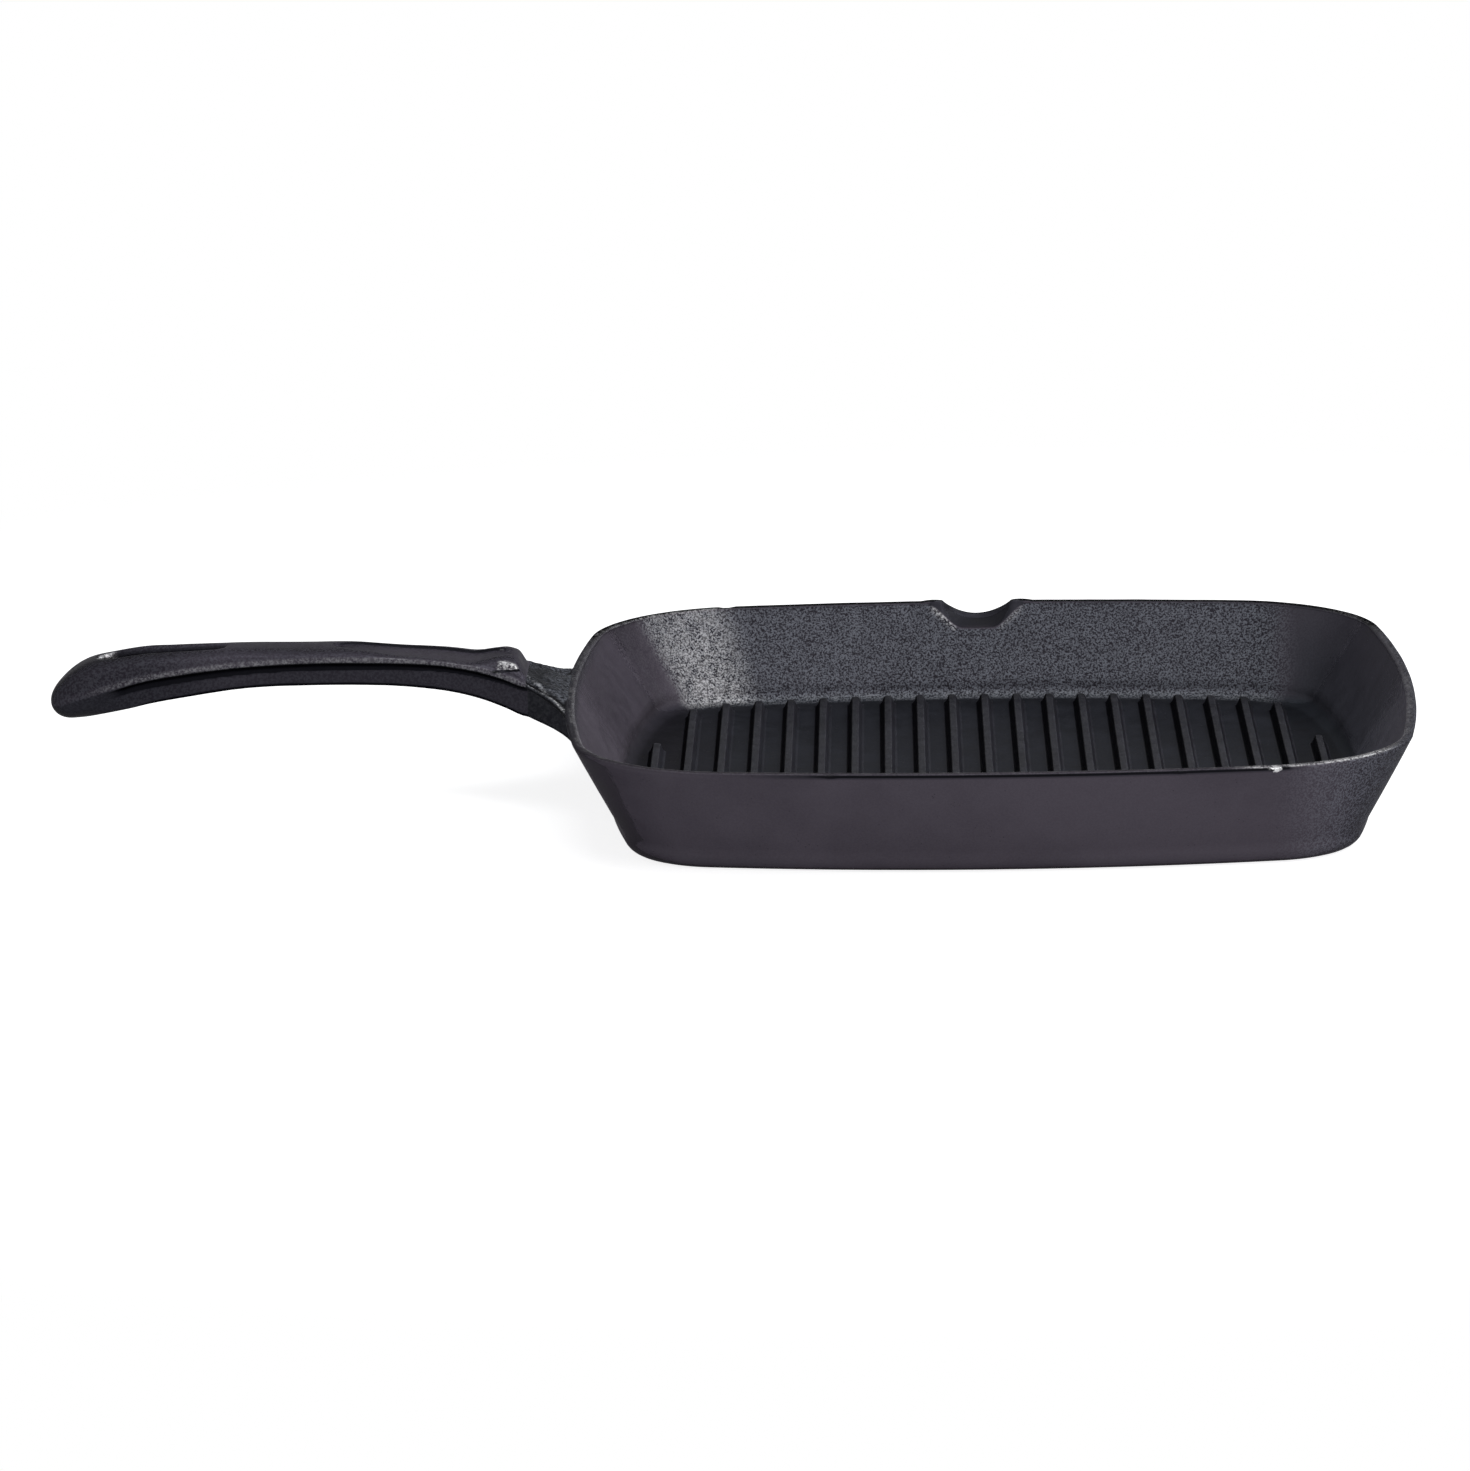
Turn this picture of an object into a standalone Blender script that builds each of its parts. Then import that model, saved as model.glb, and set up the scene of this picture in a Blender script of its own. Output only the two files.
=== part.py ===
"""Square cast iron grill pan with a ribbed floor, one pouring spout and a long arched handle.

The real pan is one iron casting. Here each region that a user would name is a solid of its own:
the pan body, every grill rib, the neck that carries the handle, and the grip.
Units are metres, +Z is up. The origin is the centre of the flat underside.
The handle runs along -X, the ribs lie along Y, and the spout is in the middle of the +Y side.
"""

import math

import bmesh
import bpy
from mathutils import Vector

# Pan body
RIM_SIDE = 0.2600  # outer width of the rim, the same in X and Y
RIM_HEIGHT = 0.0328  # table to rim
RIM_CORNER_RADIUS = 0.0510
RIM_SIDE_RADIUS = 0.6500  # the sides bow outwards
RIM_ROUND = 0.0012  # rounding of the rim's two edges
RIM_WALL = 0.0032  # thickness of the wall at the rim
FOOT_WALL = 0.0058  # thickness of the wall at its foot
WALL_DRAFT = 0.0126  # how much further in the wall stands at the foot than at the rim
BASE_FILLET = 0.0058
BASE_CORNER_RADIUS = 0.0305
BASE_SIDE_RADIUS = 0.4970
FLOOR = 0.0040
FLOOR_FILLET = 0.0047
FLOOR_CORNER_RADIUS = 0.0280
FLOOR_SIDE_RADIUS = 0.4000

# Pouring spout
SPOUT_CENTRE_X = -0.0018
SPOUT_WIDTH = 0.0224  # at the lip
SPOUT_CREASE_WIDTH = 0.0320  # where the channel starts on the inside of the wall
SPOUT_CREASE_FLANK = 0.70  # share of its half width over which the channel falls to full depth
SPOUT_REACH = 0.0095  # how far the lip stands out from the rim
SPOUT_DIP = 0.0060  # how far the lip lies below the rim
SPOUT_CREASE_DIP = 0.0070  # how far the channel's start lies below the rim
SPOUT_CHIN = 0.0150  # height below the rim at which the outside starts to swell
SPOUT_SHOULDER = 0.0004  # the rim lifts a little beside the spout

# Grill ribs
RIB_PITCH = 0.01035
RIB_FOOT = 0.0044
RIB_CREST = 0.0023
RIB_HEIGHT = 0.0029
RIB_EDGE_GAP = 0.0010  # from a rib's foot to the edge of the flat floor
RIB_END_SLOPE = 0.0018
RIB_ROUND = 0.0006
SHORTEST_RIB = 0.0200

# Handle. Distances along it are counted outwards from the rim's outer edge.
HANDLE_REACH = 0.1590  # rim to the tip of the grip
NECK_LENGTH = 0.0116  # rim to the foot of the step
FLARE_RADIUS = 0.0260  # the neck widens into the rim round this radius
FLARE_SINK = 0.0016  # the flare ends this far inside the rim line
NECK_RISE = 0.0047  # height of the neck's edge above the rim at the foot of the step
NECK_CROWN = 0.0021  # crown of the neck where it meets the rim
STEP_CROWN = 0.0007  # crown of the neck at the foot of the step
NECK_GROOVE = 0.0012  # depth of the groove inside each edge bead of the neck
GROOVE_PLACE = 0.74  # its middle, as a share of the neck's half width
GROOVE_HALF_WIDTH = 0.19
NECK_DEPTH = 0.0130
NECK_WEB_WIDTH = 0.0240
STEP_LENGTH = 0.0036
LIP_HEIGHT = 0.0034  # the lip's block above the grip's shoulders
LIP_BLOCK_WIDTH = 0.0250
LIP_BLOCK_LENGTH = 0.0180
LIP_SHOULDER = 0.0020  # crown of the grip beside the block
THUMB_CROWN = 0.0010  # crown of the grip beside the thumb rest
GRIP_RISE = 0.0115  # highest point of the grip's edge above the rim
GRIP_WIDTH = 0.0220
LIP_WIDTH = 0.0290
TIP_WIDTH = 0.0270
GRIP_CROWN = 0.0028  # crown of the grip at its middle
TIP_CROWN = 0.0103
CROWN_POWER = 3.0  # the crown is a superellipse: 2 is round, more is flatter
GRIP_DEPTH = 0.0092
WEB_WIDTH = 0.0100
FLANGE_EDGE = 0.0012
UNDERCUT_FILLET = 0.0026
WEB_ROUND = 0.0020
DISH_DEPTH = 0.0009  # thumb rest sunk into the top of the grip
DISH_START = 0.0165
DISH_LENGTH = 0.0545
DISH_WIDTH = 0.78  # its widest place, as a share of the grip's width
NOSE_LENGTH = 0.0150
BULB_LENGTH = 0.0280  # the T section turns round over this length before the tip
BULB_HASTE = 1.4  # more than 1 where the section is round some way before the tip
NOSE_DROP = 0.0021  # how far the middle of the nose lies below the rim

# Hanging slot
SLOT_FROM_TIP = 0.0155
SLOT_LENGTH = 0.0385
SLOT_WIDE_END = 0.0095
SLOT_NARROW_END = 0.0065
SLOT_MOUTH = 0.0008  # how much wider the mouths are, each side

# Gap left between neighbouring solids
CLEARANCE = 0.0003

# Faceting
SIDE_STEPS = 8
CORNER_STEPS = 12
SPOUT_STEPS = 16
FILLET_STEPS = 4
GRIP_STEPS = 18
TOP_SHARES = (0.0, 0.25, 0.5, 0.64, 0.74, 0.84, 0.93, 0.98)  # places across the handle's top
LIP_STEP_SHARES = (0.0, 0.3, 0.65, 1.0)  # places along the step
NOSE_ANGLES = (15, 30, 45, 58, 70, 80)  # places round the nose, in degrees

PARTS = bpy.data.collections.new("grill_pan")
CUTTERS = bpy.data.collections.new("cutters")


def clear_scene():
    for old in list(bpy.data.objects):
        bpy.data.objects.remove(old, do_unlink=True)
    for group in (PARTS, CUTTERS):
        bpy.context.scene.collection.children.link(group)


def iron(name, colour, roughness):
    """Seasoned cast iron: nearly black, slightly warm or cool by region."""
    material = bpy.data.materials.new(name)
    material.use_nodes = True
    shader = material.node_tree.nodes["Principled BSDF"]
    shader.inputs["Base Color"].default_value = (*colour, 1.0)
    shader.inputs["Roughness"].default_value = roughness
    shader.inputs["Metallic"].default_value = 0.6
    material.diffuse_color = (*colour, 1.0)
    return material


def mix(a, b, share):
    return a + (b - a) * share


def ease(share):
    """0 up to 0, 1 from 1 on, with a smooth change between."""
    share = min(1.0, max(0.0, share))
    return share * share * (3 - 2 * share)


def smooth_through(knots, at):
    """Height of a smooth curve through (position, value) knots: cubic, level at both ends."""
    if at <= knots[0][0]:
        return knots[0][1]
    if at >= knots[-1][0]:
        return knots[-1][1]
    last = len(knots) - 1

    def slope(i):
        if i in (0, last):
            return 0.0
        (x0, y0), (x1, y1) = knots[i - 1], knots[i + 1]
        return (y1 - y0) / (x1 - x0)

    i = max(n for n in range(last) if knots[n][0] <= at)
    (x0, y0), (x1, y1) = knots[i], knots[i + 1]
    span = x1 - x0
    t = (at - x0) / span
    start = (1 + 2 * t) * (1 - t) ** 2 * y0 + t * (1 - t) ** 2 * span * slope(i)
    end = t * t * (3 - 2 * t) * y1 + t * t * (t - 1) * span * slope(i + 1)
    return start + end


def loft(name, rings, material, group=PARTS):
    """A closed solid through rings of equally many points, with a flat cap on the first and last."""
    shape = bmesh.new()
    rows = [[shape.verts.new(point) for point in ring] for ring in rings]
    for near, far in zip(rows, rows[1:]):
        for i in range(len(near)):
            j = (i + 1) % len(near)
            shape.faces.new((near[i], near[j], far[j], far[i]))
    shape.faces.new(list(reversed(rows[0])))
    shape.faces.new(rows[-1])
    bmesh.ops.recalc_face_normals(shape, faces=shape.faces)
    mesh = bpy.data.meshes.new(name)
    shape.to_mesh(mesh)
    shape.free()
    solid = bpy.data.objects.new(name, mesh)
    group.objects.link(solid)
    if material:
        mesh.materials.append(material)
    mesh.shade_smooth()
    mesh.set_sharp_from_angle(angle=math.radians(35))
    return solid


def cutter(name, rings):
    solid = loft(name, rings, None, CUTTERS)
    solid.hide_render = True
    solid.display_type = "WIRE"
    return solid


def cut(solid, tool):
    boolean = solid.modifiers.new("cut", "BOOLEAN")
    boolean.operation = "DIFFERENCE"
    boolean.solver = "EXACT"
    boolean.object = tool


def corner_centre(half, side_radius, corner_radius):
    """Where the corner arc's centre lies on the diagonal, so that it runs smoothly into both sides."""
    back = side_radius - half
    gap = side_radius - corner_radius
    return (math.sqrt(2 * gap * gap - back * back) - back) / 2


def side_half_width(half, side_radius, corner_radius):
    """How far from the middle of a side its arc meets the corner arc."""
    centre = corner_centre(half, side_radius, corner_radius)
    return side_radius * math.sin(math.atan2(centre, centre + side_radius - half))


def lip_share(x):
    """1 in the middle of the spout's lip, falling to 0 at its ends."""
    across = (x - SPOUT_CENTRE_X) / (SPOUT_WIDTH / 2)
    return max(0.0, 1 - across * across)


def crease_share(x):
    """1 over the level middle of the spout's channel, easing to 0 at its ends."""
    across = abs(x - SPOUT_CENTRE_X) / (SPOUT_CREASE_WIDTH / 2)
    return ease((1 - across) / SPOUT_CREASE_FLANK)


def spout_shoulder(x):
    across = abs(x - SPOUT_CENTRE_X) / (SPOUT_WIDTH / 2)
    return SPOUT_SHOULDER * max(0.0, 1 - ((across - 1.25) / 0.35) ** 2)


def side_stations(reach, has_spout):
    """Places along a side, from one corner up to the next, closer together at the spout."""
    if not has_spout:
        return [mix(-reach, reach, i / SIDE_STEPS) for i in range(SIDE_STEPS)]
    spread = 0.5 * SPOUT_CREASE_WIDTH
    low = SPOUT_CENTRE_X - spread
    high = SPOUT_CENTRE_X + spread
    half_steps = SIDE_STEPS // 2
    before = [mix(-reach, low, i / half_steps) for i in range(half_steps)]
    middle = [mix(low, high, i / SPOUT_STEPS) for i in range(SPOUT_STEPS)]
    after = [mix(high, reach, i / half_steps) for i in range(half_steps)]
    return before + middle + after


def outline(half, side_radius, corner_radius):
    """Points (x, y) round a square with bowed sides and round corners, counterclockwise from +X's low end."""
    centre = corner_centre(half, side_radius, corner_radius)
    reach = side_half_width(half, side_radius, corner_radius)
    turn = math.atan2(centre, centre + side_radius - half)
    points = []
    for quarter in range(4):
        angle = quarter * math.pi / 2
        cos, sin = round(math.cos(angle)), round(math.sin(angle))
        has_spout = quarter == 1
        # Along +Y the local axis points to -X, so the spout's places are mirrored and run the other way.
        places = side_stations(reach, has_spout)
        if has_spout:
            places = [-reach] + [-place for place in reversed(places[1:])]
        local = [(half - side_radius + math.sqrt(side_radius**2 - t * t), t) for t in places]
        for step in range(CORNER_STEPS):
            at = mix(turn, math.pi / 2 - turn, step / CORNER_STEPS)
            local.append((centre + corner_radius * math.cos(at), centre + corner_radius * math.sin(at)))
        points += [(x * cos - y * sin, x * sin + y * cos) for x, y in local]
    return points


def wall_share(z):
    """0 where the wall leaves the base fillet, 1 where it meets the rim's rounding."""
    return (z - BASE_FILLET) / (RIM_HEIGHT - RIM_ROUND - BASE_FILLET)


def wall_thickness(z):
    return mix(FOOT_WALL, RIM_WALL, min(1.0, wall_share(z)))


def wall_outline(z, inset=0.0):
    """The wall's outer outline at a height, moved in by inset."""
    share = min(1.0, wall_share(z))
    half = RIM_SIDE / 2 - WALL_DRAFT * (1 - share) - inset
    side_radius = mix(BASE_SIDE_RADIUS, RIM_SIDE_RADIUS, share) - inset
    corner_radius = mix(BASE_CORNER_RADIUS, RIM_CORNER_RADIUS, share) - inset
    return outline(half, side_radius, corner_radius)


def flat_ring(points, z):
    return [Vector((x, y, z)) for x, y in points]


def lip_ring(z, inset):
    """A ring of the rim, carried out and down at the spout and lifted a little beside it."""
    ring = flat_ring(wall_outline(z, inset), z)
    for point in ring:
        if point.y > 0:
            share = lip_share(point.x)
            point.y += SPOUT_REACH * share
            point.z += spout_shoulder(point.x) - SPOUT_DIP * share
    return ring


def crease_ring(z, inset):
    """The ring inside the wall where the spout's channel starts: it stays on the wall and dips."""
    ring = flat_ring(wall_outline(z, inset), z)
    slope = (WALL_DRAFT + FOOT_WALL - RIM_WALL) / (RIM_HEIGHT - RIM_ROUND - BASE_FILLET)
    for point in ring:
        if point.y > 0:
            drop = SPOUT_CREASE_DIP * crease_share(point.x)
            point.z -= drop
            point.y -= drop * slope
    return ring


def base_rings():
    """The flat underside's edge and the fillet up to the wall."""
    rings = []
    for step in range(FILLET_STEPS + 1):
        angle = math.pi / 2 * step / FILLET_STEPS
        z = BASE_FILLET * (1 - math.cos(angle))
        inset = BASE_FILLET * (1 - math.sin(angle))
        half = RIM_SIDE / 2 - WALL_DRAFT - inset
        rings.append(flat_ring(outline(half, BASE_SIDE_RADIUS, BASE_CORNER_RADIUS - inset), z))
    return rings


def floor_outline(share=1.0):
    """The inner outline, from the foot of the wall (0) to the edge of the flat floor (1)."""
    top = FLOOR + FLOOR_FILLET
    up = wall_share(top)
    wall = wall_thickness(top)
    half = RIM_SIDE / 2 - WALL_DRAFT * (1 - up) - wall
    side_radius = mix(BASE_SIDE_RADIUS, RIM_SIDE_RADIUS, up) - wall
    corner_radius = mix(BASE_CORNER_RADIUS, RIM_CORNER_RADIUS, up) - wall
    return (
        half - FLOOR_FILLET * share,
        mix(side_radius, FLOOR_SIDE_RADIUS, share),
        mix(corner_radius, FLOOR_CORNER_RADIUS, share),
    )


def floor_rings():
    """The fillet from the wall's inner face down to the flat floor."""
    rings = []
    for step in range(FILLET_STEPS + 1):
        angle = math.pi / 2 * step / FILLET_STEPS
        share = 1 - math.cos(angle)
        z = FLOOR + FLOOR_FILLET * (1 - math.sin(angle))
        rings.append(flat_ring(outline(*floor_outline(share)), z))
    return rings


def pan_body():
    """Base, walls, rim and spout in one shell, lofted from the underside over the rim to the floor."""
    low = RIM_ROUND * (1 - math.sqrt(0.5))
    outer = [
        flat_ring(wall_outline(RIM_HEIGHT - SPOUT_CHIN), RIM_HEIGHT - SPOUT_CHIN),
        lip_ring(RIM_HEIGHT - RIM_ROUND, 0.0),
        lip_ring(RIM_HEIGHT - low, low),
        lip_ring(RIM_HEIGHT, RIM_ROUND),
    ]
    chin = RIM_HEIGHT - SPOUT_CHIN
    inner = [
        lip_ring(RIM_HEIGHT, RIM_WALL - RIM_ROUND),
        lip_ring(RIM_HEIGHT - low, RIM_WALL - low),
        crease_ring(RIM_HEIGHT - RIM_ROUND, RIM_WALL),
        flat_ring(wall_outline(chin, wall_thickness(chin)), chin),
    ]
    material = iron("pan_iron", (0.036, 0.033, 0.037), 0.62)
    return loft("pan_body", base_rings() + outer + inner + floor_rings(), material)


def rib_half_length(x):
    """Half the length of a rib whose foot reaches x and stays the gap inside the flat floor's edge."""
    half, side_radius, corner_radius = (size - RIB_EDGE_GAP for size in floor_outline())
    centre = corner_centre(half, side_radius, corner_radius)
    reach = side_half_width(half, side_radius, corner_radius)
    if x <= reach:
        return half - side_radius + math.sqrt(side_radius**2 - x * x)
    if x <= centre + corner_radius * math.cos(math.atan2(centre, centre + side_radius - half)):
        return centre + math.sqrt(corner_radius**2 - (x - centre) ** 2)
    if x < half:
        return math.sqrt(side_radius**2 - (x - half + side_radius) ** 2)
    return 0.0


def grill_ribs():
    """Tapered bars with rounded edges on the floor, one every pitch, as long as the floor lets them be."""
    material = iron("rib_iron", (0.022, 0.023, 0.028), 0.5)
    half_floor = floor_outline()[0]
    most = int((half_floor - RIB_FOOT / 2) / RIB_PITCH)
    places = [i * RIB_PITCH for i in range(-most, most + 1)]
    places = [x for x in places if 2 * rib_half_length(abs(x) + RIB_FOOT / 2) > SHORTEST_RIB]
    for number, x in enumerate(places, 1):
        half_length = rib_half_length(abs(x) + RIB_FOOT / 2)
        shape = bmesh.new()
        bmesh.ops.create_cube(shape, size=2.0)
        for vert in shape.verts:
            top = vert.co.z > 0
            vert.co.x *= (RIB_CREST if top else RIB_FOOT) / 2
            vert.co.y *= half_length - (RIB_END_SLOPE if top else 0.0)
            vert.co.z = RIB_HEIGHT if top else CLEARANCE
        name = f"rib_{number:02d}"
        mesh = bpy.data.meshes.new(name)
        shape.to_mesh(mesh)
        shape.free()
        mesh.materials.append(material)
        rib = bpy.data.objects.new(name, mesh)
        rib.location = (x, 0.0, FLOOR)
        PARTS.objects.link(rib)
        crest_edges = mesh.attributes.new("bevel_weight_edge", "FLOAT", "EDGE")
        for edge in mesh.edges:
            on_top = all(mesh.vertices[v].co.z > RIB_HEIGHT / 2 for v in edge.vertices)
            crest_edges.data[edge.index].value = 1.0 if on_top else 0.0
        bevel = rib.modifiers.new("rounded crest", "BEVEL")
        bevel.limit_method = "WEIGHT"
        bevel.width = RIB_ROUND
        bevel.segments = 2
        mesh.shade_smooth()
        mesh.set_sharp_from_angle(angle=math.radians(35))


def along_grip(out):
    """Share of the grip's length, from the foot of the step (0) to the tip (1)."""
    return (out - NECK_LENGTH) / (HANDLE_REACH - NECK_LENGTH)


def along_neck(out):
    """Share of the neck's length, from where it leaves the rim (0) to the foot of the step (1)."""
    return min(1.0, max(0.0, out + FLARE_SINK) / (NECK_LENGTH + FLARE_SINK))


def handle_edge(out):
    """Height of the widest line of the handle."""
    start = RIM_HEIGHT + NECK_RISE
    if out <= NECK_LENGTH:
        return mix(RIM_HEIGHT - NECK_CROWN, start, along_neck(out) ** 0.85)
    crest = RIM_HEIGHT + GRIP_RISE
    nose = RIM_HEIGHT - NOSE_DROP
    knots = (
        (0.0, start),
        (0.05, mix(start, crest, 0.30)),
        (0.12, mix(start, crest, 0.68)),
        (0.20, mix(start, crest, 0.91)),
        (0.35, crest),
        (0.45, crest),
        (0.57, mix(crest, nose, 0.05)),
        (0.66, mix(crest, nose, 0.13)),
        (0.74, mix(crest, nose, 0.235)),
        (0.80, mix(crest, nose, 0.34)),
        (0.87, mix(crest, nose, 0.53)),
        (0.94, mix(crest, nose, 0.76)),
        (1.0, nose),
    )
    return smooth_through(knots, along_grip(out))


def handle_crown(out):
    """How far the middle of the top stands above the edge, without the lip's block and the thumb rest."""
    if out <= NECK_LENGTH:
        return mix(NECK_CROWN, STEP_CROWN, along_neck(out))
    knots = (
        (0.0, STEP_CROWN),
        (0.02, LIP_SHOULDER),
        (0.07, LIP_SHOULDER),
        (0.13, THUMB_CROWN),
        (0.24, THUMB_CROWN),
        (0.36, mix(THUMB_CROWN, GRIP_CROWN, 0.9)),
        (0.46, GRIP_CROWN),
        (0.57, mix(GRIP_CROWN, TIP_CROWN, 0.12)),
        (0.66, mix(GRIP_CROWN, TIP_CROWN, 0.24)),
        (0.74, mix(GRIP_CROWN, TIP_CROWN, 0.39)),
        (0.80, mix(GRIP_CROWN, TIP_CROWN, 0.54)),
        (0.87, mix(GRIP_CROWN, TIP_CROWN, 0.68)),
        (0.94, mix(GRIP_CROWN, TIP_CROWN, 0.83)),
        (1.0, TIP_CROWN),
    )
    return smooth_through(knots, along_grip(out))


def lip_block(out, y):
    """The block of the lip: it rises in the step, has steep sides and runs out into the thumb rest."""
    rise = math.sin(min(1.0, max(0.0, out - NECK_LENGTH) / STEP_LENGTH) * math.pi / 2)
    run_out = 1 - ease((out - NECK_LENGTH - STEP_LENGTH) / (LIP_BLOCK_LENGTH - STEP_LENGTH))
    across = min(1.0, abs(y) / (LIP_BLOCK_WIDTH / 2))
    return LIP_HEIGHT * rise * run_out * math.sqrt(1 - across**6)


def handle_depth(out):
    """How far the web's underside lies below the edge."""
    knots = (
        (-0.16, NECK_DEPTH + 0.0062),
        (-0.09, NECK_DEPTH + 0.0004),
        (0.0, NECK_DEPTH - 0.0002),
        (0.09, mix(NECK_DEPTH, GRIP_DEPTH, 0.45)),
        (0.20, mix(NECK_DEPTH, GRIP_DEPTH, 0.72)),
        (0.30, mix(NECK_DEPTH, GRIP_DEPTH, 0.92)),
        (0.45, GRIP_DEPTH * 1.01),
        (0.58, GRIP_DEPTH * 0.97),
        (0.72, GRIP_DEPTH * 1.01),
        (0.86, GRIP_DEPTH),
        (0.95, GRIP_DEPTH * 0.95),
        (1.0, GRIP_DEPTH * 0.85),
    )
    return smooth_through(knots, along_grip(out))


def handle_half_width(out):
    knots = (
        (0.0, LIP_WIDTH / 2),
        (0.13, mix(LIP_WIDTH, GRIP_WIDTH, 0.45) / 2),
        (0.32, GRIP_WIDTH / 2),
        (0.58, GRIP_WIDTH / 2),
        (0.86, TIP_WIDTH / 2),
        (1.0, TIP_WIDTH / 2),
    )
    width = smooth_through(knots, along_grip(out))
    inward = min(max(FLARE_RADIUS - out - FLARE_SINK, 0.0), FLARE_RADIUS)
    return width + FLARE_RADIUS - math.sqrt(FLARE_RADIUS**2 - inward**2)


def web_half_width(out):
    knots = (
        (-0.16, NECK_WEB_WIDTH / 2),
        (0.0, mix(NECK_WEB_WIDTH, WEB_WIDTH, 0.72) / 2),
        (0.16, mix(NECK_WEB_WIDTH, WEB_WIDTH, 0.96) / 2),
        (0.45, WEB_WIDTH / 2),
        (0.60, mix(WEB_WIDTH, TIP_WIDTH, 0.12) / 2),
        (0.78, mix(WEB_WIDTH, TIP_WIDTH, 0.45) / 2),
        (0.92, mix(WEB_WIDTH, TIP_WIDTH, 0.72) / 2),
        (1.0, mix(WEB_WIDTH, TIP_WIDTH, 0.78) / 2),
    )
    return smooth_through(knots, along_grip(out))


def groove(out, share):
    """Depth of the groove that parts the neck's edge beads from its raised middle."""
    if out > NECK_LENGTH:
        return 0.0
    return NECK_GROOVE * max(0.0, 1 - ((share - GROOVE_PLACE) / GROOVE_HALF_WIDTH) ** 2)


def dish(out, share):
    """Depth of the thumb rest: a level floor with a crisp border, closed in a curve at both ends."""
    along = (out - DISH_START) / DISH_LENGTH
    if not 0 < along < 1:
        return 0.0
    border = DISH_WIDTH * math.sin(along * math.pi) ** 0.4
    return DISH_DEPTH * (1 - ease((share / border - 0.7) / 0.3))


def top_height(out, share, half_width):
    """Height of the top at a share of the half width."""
    crown = handle_crown(out) * (1 - share**CROWN_POWER) ** (1 / CROWN_POWER)
    raised = handle_edge(out) + crown + lip_block(out, share * half_width)
    return raised - dish(out, share) - groove(out, share)


def rounded_below(points, out, half_width, edge, depth):
    """The T's lower points drawn onto a half ellipse as the section nears the tip."""
    share = ease(BULB_HASTE * (1 - (HANDLE_REACH - out) / BULB_LENGTH))
    first = next(i for i, (y, z) in enumerate(points) if y == half_width)
    lower = len(points) - first
    rounded = list(points[:first])
    for i, (y, z) in enumerate(points[first:]):
        angle = math.pi / 2 * i / (lower - 0.5)
        round_y = half_width * math.cos(angle)
        round_z = edge - depth * math.sin(angle)
        rounded.append((mix(y, round_y, share), mix(z, round_z, share)))
    return rounded


def handle_section(out):
    """The handle's T section at a distance from the rim: a crowned flange on a web with a round underside."""
    half_width = handle_half_width(out)
    edge = handle_edge(out)
    depth = handle_depth(out)
    web = min(web_half_width(out), half_width - 1.3 * FLANGE_EDGE)
    right = [(share * half_width, top_height(out, share, half_width)) for share in TOP_SHARES]
    right.append((half_width, edge))
    right.append((half_width - 0.3 * FLANGE_EDGE, edge - 0.7 * FLANGE_EDGE))
    flange_foot = half_width - FLANGE_EDGE
    under = edge - FLANGE_EDGE
    for step in range(3):
        angle = math.pi / 2 * (1 - step / 3)
        y = web + (flange_foot - web) * (1 - math.cos(angle))
        right.append((y, under - UNDERCUT_FILLET * (1 - math.sin(angle))))
    bottom = edge - depth
    right.append((web, bottom + WEB_ROUND))
    right.append((web - 0.3 * WEB_ROUND, bottom + 0.3 * WEB_ROUND))
    right.append((web - WEB_ROUND, bottom))
    right = rounded_below(right, out, half_width, edge, depth)
    left = [(-y, z) for y, z in reversed(right) if y > 0]
    return right + left


def handle_ring(out):
    """The section at its place, drawn together towards the nose over the last stretch of the grip."""
    into_nose = max(0.0, out - HANDLE_REACH + NOSE_LENGTH) / NOSE_LENGTH
    size = math.sqrt(max(0.0, 1 - min(into_nose, 0.985) ** 2))
    middle = RIM_HEIGHT - NOSE_DROP
    x = -RIM_SIDE / 2 - out
    return [Vector((x, y * size, middle + (z - middle) * size)) for y, z in handle_section(out)]


def pan_clearance_cutter():
    """The space of the pan with the clearance added, reaching well above and below the neck."""
    slope = WALL_DRAFT / (RIM_HEIGHT - RIM_ROUND - BASE_FILLET)
    low = -0.5 * BASE_FILLET
    sunk = WALL_DRAFT + slope * (BASE_FILLET - low)
    foot = outline(RIM_SIDE / 2 - sunk + CLEARANCE, BASE_SIDE_RADIUS, BASE_CORNER_RADIUS)
    rings = [
        flat_ring(foot, low),
        flat_ring(wall_outline(BASE_FILLET, -CLEARANCE), BASE_FILLET),
        flat_ring(wall_outline(RIM_HEIGHT - RIM_ROUND, -CLEARANCE), RIM_HEIGHT - RIM_ROUND),
        flat_ring(wall_outline(RIM_HEIGHT, -CLEARANCE), 2 * RIM_HEIGHT),
    ]
    return cutter("pan_clearance", rings)


def handle_neck():
    """From inside the pan's wall out to the step, then cut back to the wall with the clearance."""
    start = -1.2 * WALL_DRAFT
    end = NECK_LENGTH - CLEARANCE / 2
    curved = [0.0, 0.12, 0.26, 0.44, 0.68, 1.0]
    places = [start] + [mix(-FLARE_SINK, end, share) for share in curved]
    material = iron("neck_iron", (0.040, 0.040, 0.044), 0.6)
    neck = loft("handle_neck", [handle_ring(out) for out in places], material)
    cut(neck, pan_clearance_cutter())


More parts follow.
